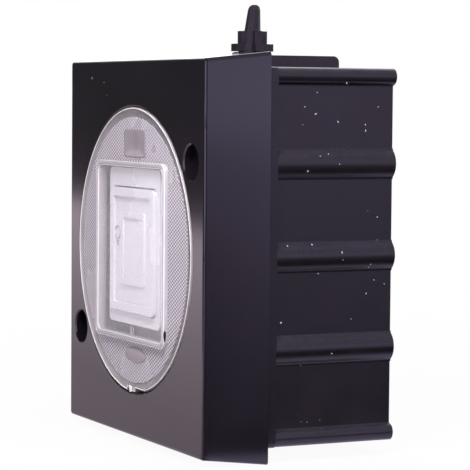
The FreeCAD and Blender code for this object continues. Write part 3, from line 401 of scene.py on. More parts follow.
@dataclass(frozen=True)
class Finish:
    """A material made of a principled shader with noise-driven colour and bump.

    dark and light are the two tones that it wanders between over mottle_mm. grain_mm and
    grain_depth_mm are the size and height of the surface's own grain, and stretch draws the
    grain out along an axis, as rolling does.

    speck_share is the share of cells that hold a pale speck, which fades over speck_edge, in
    cells. dust_share is how much of an upward face thin dust hides. It grows with the
    normal's z over dust_slope, and it is uneven over dust_clump_mm, from dust_least of that
    share to all of it, as noise goes over dust_noise.
    """

    name: str
    dark: str
    light: str
    roughness: Span
    mottle_mm: float
    grain_mm: float
    grain_depth_mm: float
    metallic: float = 0.0
    alpha: float = 1.0
    specular: float = 0.5
    ior: float = 1.5
    stretch: tuple[float, float, float] = (1.0, 1.0, 1.0)
    speck_share: float = 0.0
    speck_cell_mm: float = 2.6
    speck_edge: Span = (0.05, 0.09)
    speck_tone: str = "#8b848e"
    dust_share: float = 0.0
    dust_slope: Span = (0.05, 0.6)
    dust_clump_mm: float = 1.6
    dust_noise: Span = (0.35, 0.65)
    dust_least: float = 0.7
    dust_tone: str = "#85809a"

    def build(self) -> bpy.types.Material:
        """Makes the material.

        Colour runs between two tones by soft noise, roughness follows the same noise, and a
        finer noise gives the bump.

        Returns:
            The material.
        """
        made = bpy.data.materials.new(self.name)
        made.use_nodes = True
        tree = made.node_tree
        tree.nodes.clear()
        place = add_node(tree, "ShaderNodeTexCoord")
        scaled = add_node(tree, "ShaderNodeMapping", None,
                          {"Vector": place.outputs["Object"], "Scale": self.stretch})
        soft = add_node(tree, "ShaderNodeTexNoise", None,
                        {"Vector": scaled.outputs[0], "Scale": 1 / (self.mottle_mm * MM),
                         "Detail": 3.0})
        tone = add_node(tree, "ShaderNodeValToRGB", None, {"Fac": soft.outputs["Fac"]})
        set_ramp(tone, [(NOISE_SPAN[0], linear(self.dark)), (NOISE_SPAN[1], linear(self.light))])
        rough = add_node(tree, "ShaderNodeMapRange", None,
                         {"Value": soft.outputs["Fac"], "From Min": NOISE_SPAN[0],
                          "From Max": NOISE_SPAN[1], "To Min": self.roughness[0],
                          "To Max": self.roughness[1]})
        fine = add_node(tree, "ShaderNodeTexNoise", None,
                        {"Vector": scaled.outputs[0], "Scale": 1 / (self.grain_mm * MM),
                         "Detail": 2.0})
        bump = add_node(tree, "ShaderNodeBump", None,
                        {"Height": self.relief(tree, place, fine), "Strength": 1.0,
                         "Distance": self.grain_depth_mm * MM})
        surface = add_node(tree, "ShaderNodeBsdfPrincipled", None,
                           {"Base Color": self.colour(tree, place, tone),
                            "Roughness": rough.outputs[0], "Metallic": self.metallic,
                            "Alpha": self.alpha, "Specular IOR Level": self.specular,
                            "IOR": self.ior, "Normal": bump.outputs[0]})
        add_node(tree, "ShaderNodeOutputMaterial", None, {"Surface": surface.outputs[0]})
        return made

    def relief(self, tree: bpy.types.NodeTree, place: bpy.types.Node,
               fine: bpy.types.Node) -> bpy.types.NodeSocket:
        """Gives the height that the bump reads: here the fine noise alone.

        Args:
            tree: the material's node tree.
            place: the texture coordinate node.
            fine: the fine noise.

        Returns:
            The socket that holds the height.
        """
        return fine.outputs["Fac"]

    def colour(self, tree: bpy.types.NodeTree, place: bpy.types.Node,
               tone: bpy.types.Node) -> bpy.types.NodeSocket:
        """Gives the base colour: the mottled tone, with the dust that the finish has.

        Args:
            tree: the material's node tree.
            place: the texture coordinate node.
            tone: the colour ramp of the two tones.

        Returns:
            The socket that holds the colour.
        """
        colour = tone.outputs[0]
        if self.speck_share:
            colour = self.specks(tree, place, colour)
        if self.dust_share:
            colour = self.settled(tree, place, colour)
        return colour

    def specks(self, tree: bpy.types.NodeTree, place: bpy.types.Node,
               under: bpy.types.NodeSocket) -> bpy.types.NodeSocket:
        """Lays pale specks over a colour, at the middle of a few Voronoi cells.

        Args:
            tree: the material's node tree.
            place: the texture coordinate node.
            under: the colour below the specks.

        Returns:
            The socket that holds the colour.
        """
        cells = add_node(tree, "ShaderNodeTexVoronoi", None,
                         {"Vector": place.outputs["Object"],
                          "Scale": 1 / (self.speck_cell_mm * MM), "Randomness": 1.0})
        near = add_node(tree, "ShaderNodeMapRange", None,
                        {"Value": cells.outputs["Distance"], "From Min": self.speck_edge[0],
                         "From Max": self.speck_edge[1], "To Min": 1.0, "To Max": 0.0})
        pick = add_node(tree, "ShaderNodeSeparateColor", None, {0: cells.outputs["Color"]})
        chosen = add_node(tree, "ShaderNodeMath", {"operation": "LESS_THAN"},
                          {0: pick.outputs[0], 1: self.speck_share})
        mask = add_node(tree, "ShaderNodeMath", {"operation": "MULTIPLY"},
                        {0: near.outputs[0], 1: chosen.outputs[0]})
        mixed = add_node(tree, "ShaderNodeMix", {"data_type": "RGBA"},
                         {MIX_SHARE: mask.outputs[0], MIX_UNDER: under,
                          MIX_OVER: linear(self.speck_tone)})
        return mixed.outputs[MIX_RESULT]

    def settled(self, tree: bpy.types.NodeTree, place: bpy.types.Node,
                under: bpy.types.NodeSocket) -> bpy.types.NodeSocket:
        """Lays thin dust over a colour, unevenly, and more the more a face looks upwards.

        Args:
            tree: the material's node tree.
            place: the texture coordinate node.
            under: the colour below the dust.

        Returns:
            The socket that holds the colour.
        """
        shape = add_node(tree, "ShaderNodeNewGeometry")
        axes = add_node(tree, "ShaderNodeSeparateXYZ", None, {0: shape.outputs["Normal"]})
        upward = add_node(tree, "ShaderNodeMapRange", None,
                          {"Value": axes.outputs[2], "From Min": self.dust_slope[0],
                           "From Max": self.dust_slope[1], "To Min": 0.0,
                           "To Max": self.dust_share})
        clumps = add_node(tree, "ShaderNodeTexNoise", None,
                          {"Vector": place.outputs["Object"],
                           "Scale": 1 / (self.dust_clump_mm * MM), "Detail": 5.0})
        uneven = add_node(tree, "ShaderNodeMapRange", None,
                          {"Value": clumps.outputs["Fac"], "From Min": self.dust_noise[0],
                           "From Max": self.dust_noise[1], "To Min": self.dust_least,
                           "To Max": 1.0})
        cover = add_node(tree, "ShaderNodeMath", {"operation": "MULTIPLY"},
                         {0: upward.outputs[0], 1: uneven.outputs[0]})
        mixed = add_node(tree, "ShaderNodeMix", {"data_type": "RGBA"},
                         {MIX_SHARE: cover.outputs[0], MIX_UNDER: under,
                          MIX_OVER: linear(self.dust_tone)})
        return mixed.outputs[MIX_RESULT]


@dataclass(frozen=True)
class LatticeFinish(Finish):
    """Clear soft vinyl whose face is pressed with a fine lattice of staggered dots.

    row_mm and line_mm are half the distance between dots across and upwards. The dots are
    drawn coarser than the real ones, which are too fine to show in the render. The face
    turns to a paler tone as the lattice's height goes over crown_span: a painted highlight
    on each dot's crown.
    """

    row_mm: float = 0.78
    line_mm: float = 0.45
    crown_span: Span = (-0.2, 0.9)
    # Painted highlight: the paler tone on each dot's crown.
    crown_highlight_tone: str = "#e0d9e2"
    height_node: str = "lattice_height"

    def relief(self, tree: bpy.types.NodeTree, place: bpy.types.Node,
               fine: bpy.types.Node) -> bpy.types.NodeSocket:
        """Gives the lattice's height, cos(pi x / row_mm) times cos(pi z / line_mm).

        Args:
            tree: the material's node tree.
            place: the texture coordinate node.
            fine: the fine noise, which this face doesn't show.

        Returns:
            The socket that holds the height.
        """
        axes = add_node(tree, "ShaderNodeSeparateXYZ", None, {0: place.outputs["Object"]})
        waves = []
        for axis, step in ((0, self.row_mm), (2, self.line_mm)):
            angle = add_node(tree, "ShaderNodeMath", {"operation": "MULTIPLY"},
                             {0: axes.outputs[axis], 1: math.pi / (step * MM)})
            waves.append(add_node(tree, "ShaderNodeMath", {"operation": "COSINE"},
                                  {0: angle.outputs[0]}))
        both = add_node(tree, "ShaderNodeMath", {"operation": "MULTIPLY"},
                        {0: waves[0].outputs[0], 1: waves[1].outputs[0]})
        both.name = self.height_node
        return both.outputs[0]

    def colour(self, tree: bpy.types.NodeTree, place: bpy.types.Node,
               tone: bpy.types.Node) -> bpy.types.NodeSocket:
        """Gives the mottled tone, with a painted highlight that makes the dots' crowns paler.

        Args:
            tree: the material's node tree.
            place: the texture coordinate node.
            tone: the colour ramp of the two tones.

        Returns:
            The socket that holds the colour.
        """
        # Painted highlight: the dots' crowns turn paler with the lattice's height.
        crown = add_node(tree, "ShaderNodeMapRange", None,
                         {"Value": tree.nodes[self.height_node].outputs[0],
                          "From Min": self.crown_span[0], "From Max": self.crown_span[1],
                          "To Min": 0.0, "To Max": 1.0})
        mixed = add_node(tree, "ShaderNodeMix", {"data_type": "RGBA"},
                         {MIX_SHARE: crown.outputs[0], MIX_UNDER: tone.outputs[0],
                          MIX_OVER: linear(self.crown_highlight_tone)})
        return mixed.outputs[MIX_RESULT]


@dataclass(frozen=True)
class Finishes:
    """Every finish of the switch."""

    # Black ABS moulded in a polished tool: near-black, and it mirrors the table's far edge.
    gloss_abs: Finish = Finish("polished_black_abs", "#0f0b10", "#151116", (0.06, 0.1), 30.0, 9.0,
                               0.004, ior=1.53)
    # Black ABS moulded in a blasted tool: soft broad sheen, thin dust on what looks upwards.
    satin_abs: Finish = Finish("satin_black_abs", "#0a0607", "#0f090b", (0.27, 0.35), 9.0, 0.35,
                               0.012, specular=0.46, speck_share=0.14, dust_share=0.057)
    # Black rubber, moulded: dull, with hardly any highlight.
    rubber: Finish = Finish("moulded_black_rubber", "#151115", "#201b21", (0.5, 0.66), 2.0, 0.4,
                            0.02)
    # Clear soft vinyl, injection moulded: hazy and a little wavy, the frame shows through.
    vinyl: Finish = Finish("clear_soft_vinyl", "#aca3a8", "#bdb4b8", (0.12, 0.2), 12.0, 3.0, 0.01,
                           alpha=0.54)
    # The same vinyl where it is thick, as a ridge: milkier, with bright flanks.
    ridge: Finish = Finish("clear_vinyl_ridge", "#bdb4be", "#cac2cb", (0.1, 0.16), 12.0, 3.0, 0.006,
                           alpha=0.66)
    # Near-white vinyl for the fine beads on the lip and the frame's crown: painted highlights.
    edge: Finish = Finish("vinyl_painted_highlight", "#e6e0e6", "#f0ebf0", (0.12, 0.2), 6.0, 2.0, 0.004,
                          alpha=0.82)
    # The same vinyl pressed with a lattice: a dotted face with a painted highlight on each dot.
    lattice: Finish = LatticeFinish("latticed_soft_vinyl", "#8a818c", "#988f9a", (0.24, 0.3), 30.0,
                                    1.0, 0.1, alpha=0.96)
    # The thin polished film over the key: see-through, with a faint white veil of painted sheen.
    film: Finish = Finish("clear_window_film", "#ebe3ed", "#f3ecf5", (0.05, 0.09), 18.0, 6.0, 0.004,
                          alpha=0.15)
    # The same vinyl left smooth, as islands in the dotted face, with no painted highlight.
    pad: Finish = Finish("smooth_vinyl_pad", "#8a818b", "#978e97", (0.12, 0.2), 6.0, 2.0, 0.008,
                         alpha=0.92)
    # White ABS, moulded and polished: bright, with soft highlights on its edges.
    white_abs: Finish = Finish("white_switch_abs", "#d1ced5", "#d9d6dd", (0.22, 0.3), 20.0, 2.0,
                               0.003)
    # Pale ink, pad printed: a flat grey line.
    ink: Finish = Finish("pale_grey_ink", "#8f8a93", "#9c97a0", (0.3, 0.4), 3.0, 0.5, 0.003)
    # Grey glass-filled PBT, moulded: dull and slightly grainy.
    grey_pbt: Finish = Finish("grey_housing_pbt", "#3b3a3e", "#47464b", (0.4, 0.52), 6.0, 0.4,
                              0.01)
    # Rolled steel under dull zinc plating: pale, with a faint grain along the strip.
    zinc: Finish = Finish("zinc_plated_steel", "#b9aeb8", "#cfc4ce", (0.38, 0.5), 5.0, 0.5, 0.004,
                          metallic=0.6, stretch=(1.0, 1.0, 0.15))
    # Rolled brass strip: warm yellow, with a grain along the strip.
    brass: Finish = Finish("rolled_brass", "#b08a45", "#c9a45c", (0.22, 0.36), 4.0, 0.5, 0.003,
                           metallic=1.0, stretch=(0.2, 1.0, 1.0))
    # Silver alloy, riveted on as contact tips: white metal, lightly brushed.
    silver: Finish = Finish("silver_contact_tip", "#c9c8c2", "#dddcd7", (0.18, 0.28), 2.0, 0.3,
                            0.002, metallic=1.0)
    # Drawn spring steel wire: bright grey.
    spring: Finish = Finish("drawn_spring_wire", "#8d8d8f", "#a9a9ab", (0.2, 0.3), 3.0, 0.3, 0.002,
                            metallic=1.0)
    # House dust: pale, and fully matt.
    dust: Finish = Finish("settled_dust", "#857f89", "#9d97a1", (0.8, 0.95), 0.4, 0.1, 0.01)


@dataclass(frozen=True)
class Viewpoint:
    """The camera: where it stands, how it is turned, and its lens."""

    eye: Spot = (483.0, -253.7, 36.06)
    azimuth_deg: float = 64.361
    pitch_deg: float = 3.552
    roll_deg: float = 0.4517
    lens_px: float = 2196.14
    frame_px: float = 470.0
    sensor_mm: float = 36.0
    clip_m: Span = (0.01, 50.0)

    def build(self) -> None:
        """Places the camera: forward, right and up come from azimuth, pitch and roll."""
        turn, pitch, roll = (math.radians(a) for a in
                             (self.azimuth_deg, self.pitch_deg, self.roll_deg))
        ahead = Vector((-math.sin(turn) * math.cos(pitch), math.cos(turn) * math.cos(pitch),
                        -math.sin(pitch)))
        right = Vector((math.cos(turn), math.sin(turn), 0.0))
        up = right.cross(ahead)
        side = right * math.cos(roll) + up * math.sin(roll)
        top = -right * math.sin(roll) + up * math.cos(roll)
        data = bpy.data.cameras.new("camera")
        data.sensor_width = self.sensor_mm
        data.lens = self.lens_px * self.sensor_mm / self.frame_px
        data.clip_start, data.clip_end = self.clip_m
        seen = bpy.data.objects.new("camera", data)
        turned = Matrix((side, top, -ahead)).transposed().to_4x4()
        seen.matrix_world = Matrix.Translation(Vector(self.eye) * MM) @ turned
        bpy.context.scene.collection.objects.link(seen)
        bpy.context.scene.camera = seen


@dataclass(frozen=True)
class Lamp:
    """A square soft lamp: its middle and side in mm, and its power in watts."""

    name: str
    middle: Spot
    side: float
    power: float

    def hang(self, target: Spot) -> None:
        """Hangs the lamp so that it looks at a point. Glossy faces don't show it.

        Args:
            target: the point, in mm.
        """
        data = bpy.data.lights.new(self.name, "AREA")
        data.size = self.side * MM
        data.energy = self.power
        made = bpy.data.objects.new(self.name, data)
        made.location = Vector(self.middle) * MM
        made.visible_glossy = False
        aim = Vector(target) * MM - made.location
        made.rotation_euler = aim.to_track_quat("-Z", "Y").to_euler()
        bpy.context.scene.collection.objects.link(made)


@dataclass(frozen=True)
class FloorBoard:
    """The matt white board under the switch, which glossy faces see as a lit table.

    What the camera sees of it is lifted to white, by lift over lift_span from the middle.

    The switch's face sees the table's far edge, the line y = edge_y + edge_slant * x, with
    edge_stops over edge_span about that line. Its right side sees right_stops over
    right_span of x, or front_stops over front_span of y where the slope from the corner is
    under front_slope. Both are dimmed by slope_stops over slope_span. The first shine turns
    into the second over beside_span of x. Stops are places along a span and linear levels.
    """

    top_z: float = -46.7
    reach: float = 4000.0
    tone: str = "#aaa8ac"
    lift_span: Span = (100.0, 450.0)
    lift: Span = (0.95, 1.0)
    edge_y: float = -277.0
    edge_slant: float = 0.195
    edge_span: Span = (-150.0, 250.0)
    edge_stops: Stops = ((0.0, 0.045), (0.31, 0.12), (0.435, 0.85), (0.52, 0.92), (0.68, 0.75),
                         (0.81, 0.54), (0.9, 0.4), (1.0, 0.34))
    right_span: Span = (0.0, 4000.0)
    right_stops: Stops = ((0.011, 0.8), (0.016, 0.02), (0.035, 0.09), (0.1, 0.19), (0.24, 0.32),
                          (0.55, 0.38), (1.0, 0.5))
    front_span: Span = (-100.0, -1100.0)
    front_stops: Stops = ((0.0, 0.2), (0.1, 0.45), (0.5, 0.75), (1.0, 0.95))
    corner: Point = (40.0, -48.0)
    least_across: float = 5.0
    slope_span: Span = (-1.0, 0.5)
    slope_stops: Stops = ((0.1, 1.0), (0.2, 0.08), (0.72, 0.08), (0.86, 1.0))
    front_slope: float = -0.3
    beside_span: Span = (20.0, 60.0)
    gloss_strength: float = 2.0

    def build(self) -> None:
        """Lays the board as one square that is only part of the studio."""
        reach = self.reach
        corners = np.array([[[-reach, -reach, self.top_z], [reach, -reach, self.top_z]],
                            [[-reach, reach, self.top_z], [reach, reach, self.top_z]]])
        mesh = bpy.data.meshes.new("floor")
        grid = Grid(corners)
        mesh.from_pydata((corners.reshape(-1, 3) * MM).tolist(), [], grid.faces().tolist())
        mesh.materials.append(self.finish())
        made = bpy.data.objects.new("floor", mesh)
        bpy.context.scene.collection.objects.link(made)

    def finish(self) -> bpy.types.Material:
        """Makes the board's material.

        The lamps light it. What the camera sees of it is lifted to white, less so near the
        object so that its shadow stays. Glossy faces see the table's shine instead.

        Returns:
            The material.
        """
        made = bpy.data.materials.new("white_board")
        made.use_nodes = True
        tree = made.node_tree
        tree.nodes.clear()
        path = add_node(tree, "ShaderNodeLightPath")
        place = add_node(tree, "ShaderNodeTexCoord")
        axes = add_node(tree, "ShaderNodeSeparateXYZ", None, {0: place.outputs["Object"]})
        away = add_node(tree, "ShaderNodeVectorMath", {"operation": "LENGTH"},
                        {0: place.outputs["Object"]})
        lift = add_node(tree, "ShaderNodeMapRange", None,
                        {"Value": away.outputs["Value"], "From Min": self.lift_span[0] * MM,
                         "From Max": self.lift_span[1] * MM, "To Min": self.lift[0],
                         "To Max": self.lift[1]})
        beside = add_node(tree, "ShaderNodeMapRange", None,
                          {"Value": axes.outputs[0], "From Min": self.beside_span[0] * MM,
                           "From Max": self.beside_span[1] * MM})
        shine = add_node(tree, "ShaderNodeMix", {"data_type": "RGBA"},
                         {MIX_SHARE: beside.outputs[0], MIX_UNDER: self.edge_shine(tree, axes),
                          MIX_OVER: self.side_shine(tree, axes)})
        lit = add_node(tree, "ShaderNodeBsdfDiffuse", None, {"Color": linear(self.tone)})
        white = add_node(tree, "ShaderNodeEmission", None, {"Color": WHITE, "Strength": 1.0})
        gloss = add_node(tree, "ShaderNodeEmission", None,
                         {"Color": shine.outputs[MIX_RESULT], "Strength": self.gloss_strength})
        share = add_node(tree, "ShaderNodeMath", {"operation": "MULTIPLY"},
                         {0: path.outputs["Is Camera Ray"], 1: lift.outputs[0]})
        seen = add_node(tree, "ShaderNodeMixShader", None,
                        {0: share.outputs[0], 1: lit.outputs[0], 2: white.outputs[0]})
        mixed = add_node(tree, "ShaderNodeMixShader", None,
                         {0: path.outputs["Is Glossy Ray"], 1: seen.outputs[0],
                          2: gloss.outputs[0]})
        add_node(tree, "ShaderNodeOutputMaterial", None, {"Surface": mixed.outputs[0]})
        return made

    def edge_shine(self, tree: bpy.types.NodeTree,
                   axes: bpy.types.Node) -> bpy.types.NodeSocket:
        """Gives the shine that the switch's face sees: white up to the edge, dark beyond.

        Args:
            tree: the material's node tree.
            axes: the separate node that holds x, y and z.

        Returns:
            The socket that holds the colour.
        """
        slanted = add_node(tree, "ShaderNodeMath", {"operation": "MULTIPLY_ADD"},
                           {0: axes.outputs[0], 1: -self.edge_slant, 2: axes.outputs[1]})
        inward = add_node(tree, "ShaderNodeMapRange", None,
                          {"Value": slanted.outputs[0],
                           "From Min": (self.edge_y + self.edge_span[0]) * MM,
                           "From Max": (self.edge_y + self.edge_span[1]) * MM})
        ramp = add_node(tree, "ShaderNodeValToRGB", None, {"Fac": inward.outputs[0]})
        set_ramp(ramp, tinted(self.edge_stops, warm_grey))
        return ramp.outputs[0]

    def side_shine(self, tree: bpy.types.NodeTree,
                   axes: bpy.types.Node) -> bpy.types.NodeSocket:
        """Gives the shine that the switch's right side sees.

        Past a bright stretch close by it grows with x, and in front of the switch it grows
        with -y. In between it is dimmed by the slope, (y - corner y) over (x - corner x).

        Args:
            tree: the material's node tree.
            axes: the separate node that holds x, y and z.

        Returns:
            The socket that holds the colour.
        """
        ramps = []
        for axis, span, stops in ((0, self.right_span, self.right_stops),
                                  (1, self.front_span, self.front_stops)):
            away = add_node(tree, "ShaderNodeMapRange", None,
                            {"Value": axes.outputs[axis], "From Min": span[0] * MM,
                             "From Max": span[1] * MM})
            ramps.append(add_node(tree, "ShaderNodeValToRGB", None, {"Fac": away.outputs[0]}))
            set_ramp(ramps[-1], tinted(stops, blue_haze))
        across, along = (add_node(tree, "ShaderNodeMath", {"operation": "SUBTRACT"},
                                  {0: axes.outputs[axis], 1: self.corner[axis] * MM})
                         for axis in (0, 1))
        wide = add_node(tree, "ShaderNodeMath", {"operation": "MAXIMUM"},
                        {0: across.outputs[0], 1: self.least_across * MM})
        slope = add_node(tree, "ShaderNodeMath", {"operation": "DIVIDE"},
                         {0: along.outputs[0], 1: wide.outputs[0]})
        sector = add_node(tree, "ShaderNodeMapRange", None,
                          {"Value": slope.outputs[0], "From Min": self.slope_span[0],
                           "From Max": self.slope_span[1]})
        dimmed = add_node(tree, "ShaderNodeValToRGB", None, {"Fac": sector.outputs[0]})
        set_ramp(dimmed, tinted(self.slope_stops, plain_grey))
        before = add_node(tree, "ShaderNodeMath", {"operation": "LESS_THAN"},
                          {0: slope.outputs[0], 1: self.front_slope})
        either = add_node(tree, "ShaderNodeMix", {"data_type": "RGBA"},
                          {MIX_SHARE: before.outputs[0], MIX_UNDER: ramps[0].outputs[0],
                           MIX_OVER: ramps[1].outputs[0]})
        side = add_node(tree, "ShaderNodeMix", {"data_type": "RGBA", "blend_type": "MULTIPLY"},
                        {MIX_SHARE: 1.0, MIX_UNDER: either.outputs[MIX_RESULT],
                         MIX_OVER: dimmed.outputs[0]})
        return side.outputs[MIX_RESULT]


@dataclass(frozen=True)
class Surround:
    """The world round the switch: white for the camera, and soft screens in its gloss.

    Each screen is a direction and stops, which go from the cosine between a ray and that
    direction to a level. fill is the strength of the white light from all round.
    """

    fill: float = 0.36
    gloss_strength: float = 2.0
    behind: Direction = (-0.62, 0.78, 0.0)
    behind_stops: tuple[tuple[float, Colour], ...] = (
        (0.0, (0.02, 0.02, 0.022, 1.0)), (0.45, (0.05, 0.05, 0.054, 1.0)),
        (0.68, (1.0, 0.98, 1.0, 1.0)))
    beside: Direction = (0.9, 0.43, 0.0)
    beside_stops: Stops = ((0.6, 0.0), (0.82, 0.03), (0.93, 0.24), (0.985, 0.64))
    beside_rise: float = 0.6
    beside_share: float = 0.93
    ahead: Direction = (0.42, -0.907, 0.0)
    ahead_stops: Stops = ((0.8, 0.0), (0.9, 0.95))

    def build(self) -> None:
        """Sets the world: gloss sees the screens, and the camera sees plain white."""
        world = bpy.data.worlds.new("studio_world")
        bpy.context.scene.world = world
        world.use_nodes = True
        tree = world.node_tree
        tree.nodes.clear()
        path = add_node(tree, "ShaderNodeLightPath")
        mirror = add_node(tree, "ShaderNodeBackground", None,
                          {"Color": self.screens(tree), "Strength": self.gloss_strength})
        plain = add_node(tree, "ShaderNodeBackground", None,
                         {"Color": WHITE, "Strength": self.fill})
        white = add_node(tree, "ShaderNodeBackground", None, {"Color": WHITE, "Strength": 1.0})
        first = add_node(tree, "ShaderNodeMixShader", None,
                         {0: path.outputs["Is Glossy Ray"], 1: plain.outputs[0],
                          2: mirror.outputs[0]})
        seen = add_node(tree, "ShaderNodeMath", {"operation": "MAXIMUM"},
                        {0: path.outputs["Is Camera Ray"],
                         1: path.outputs["Is Transmission Ray"]})
        last = add_node(tree, "ShaderNodeMixShader", None,
                        {0: seen.outputs[0], 1: first.outputs[0], 2: white.outputs[0]})
        add_node(tree, "ShaderNodeOutputWorld", None, {"Surface": last.outputs[0]})

    def screens(self, tree: bpy.types.NodeTree) -> bpy.types.NodeSocket:
        """Gives the sum of the three screens: behind, beside and ahead of the switch.

        The one beside follows the ray's bearing alone, its direction with z left out, and
        fades a little with the ray's rise.

        Args:
            tree: the world's node tree.

        Returns:
            The socket that holds the colour.
        """
        place = add_node(tree, "ShaderNodeTexCoord")
        ray = place.outputs["Generated"]
        level = add_node(tree, "ShaderNodeVectorMath", {"operation": "MULTIPLY"},
                         {0: ray, 1: (1.0, 1.0, 0.0)})
        bearing = add_node(tree, "ShaderNodeVectorMath", {"operation": "NORMALIZE"},
                           {0: level.outputs["Vector"]})
        behind, ahead, beside = (
            add_node(tree, "ShaderNodeVectorMath", {"operation": "DOT_PRODUCT"},
                     {0: turned, 1: screen}).outputs["Value"]
            for turned, screen in ((ray, self.behind), (ray, self.ahead),
                                   (bearing.outputs["Vector"], self.beside)))
        rise = add_node(tree, "ShaderNodeSeparateXYZ", None, {0: ray})
        fade = add_node(tree, "ShaderNodeMapRange", None,
                        {"Value": rise.outputs[2], "From Min": 0.0,
                         "From Max": self.beside_rise, "To Min": 1.0,
                         "To Max": self.beside_share})
        faded = add_node(tree, "ShaderNodeMath", {"operation": "MULTIPLY"},
                         {0: beside, 1: fade.outputs[0]})
        glows = []
        for facing, stops in ((behind, list(self.behind_stops)),
                              (ahead, tinted(self.ahead_stops, blue_haze)),
                              (faded.outputs[0], tinted(self.beside_stops, blue_haze))):
            glows.append(add_node(tree, "ShaderNodeValToRGB", None, {"Fac": facing}))
            set_ramp(glows[-1], stops)
        sides = add_node(tree, "ShaderNodeVectorMath", {"operation": "ADD"},
                         {0: glows[2].outputs[0], 1: glows[1].outputs[0]})
        every = add_node(tree, "ShaderNodeVectorMath", {"operation": "ADD"},
                         {0: glows[0].outputs[0], 1: sides.outputs[0]})
        return every.outputs[0]


@dataclass(frozen=True)
class Studio:
    """Camera, pale floor, surround and soft lamps."""

    target: Spot = (0.0, -25.0, 0.0)
    lamps: tuple[Lamp, ...] = (
        Lamp("lamp_over", (250.0, 100.0, 900.0), 600.0, 6.0),
        Lamp("lamp_right", (900.0, 250.0, 450.0), 500.0, 4.0),
        Lamp("lamp_left", (-850.0, 40.0, 480.0), 240.0, 10.5),
        Lamp("lamp_near", (150.0, -140.0, 175.0), 90.0, 1.02))

    def build(self) -> None:
        """Sets the whole studio."""
        Viewpoint().build()
        FloorBoard().build()
        Surround().build()
        for lamp in self.lamps:
            lamp.hang(self.target)
        bpy.context.scene.view_settings.view_transform = "Standard"


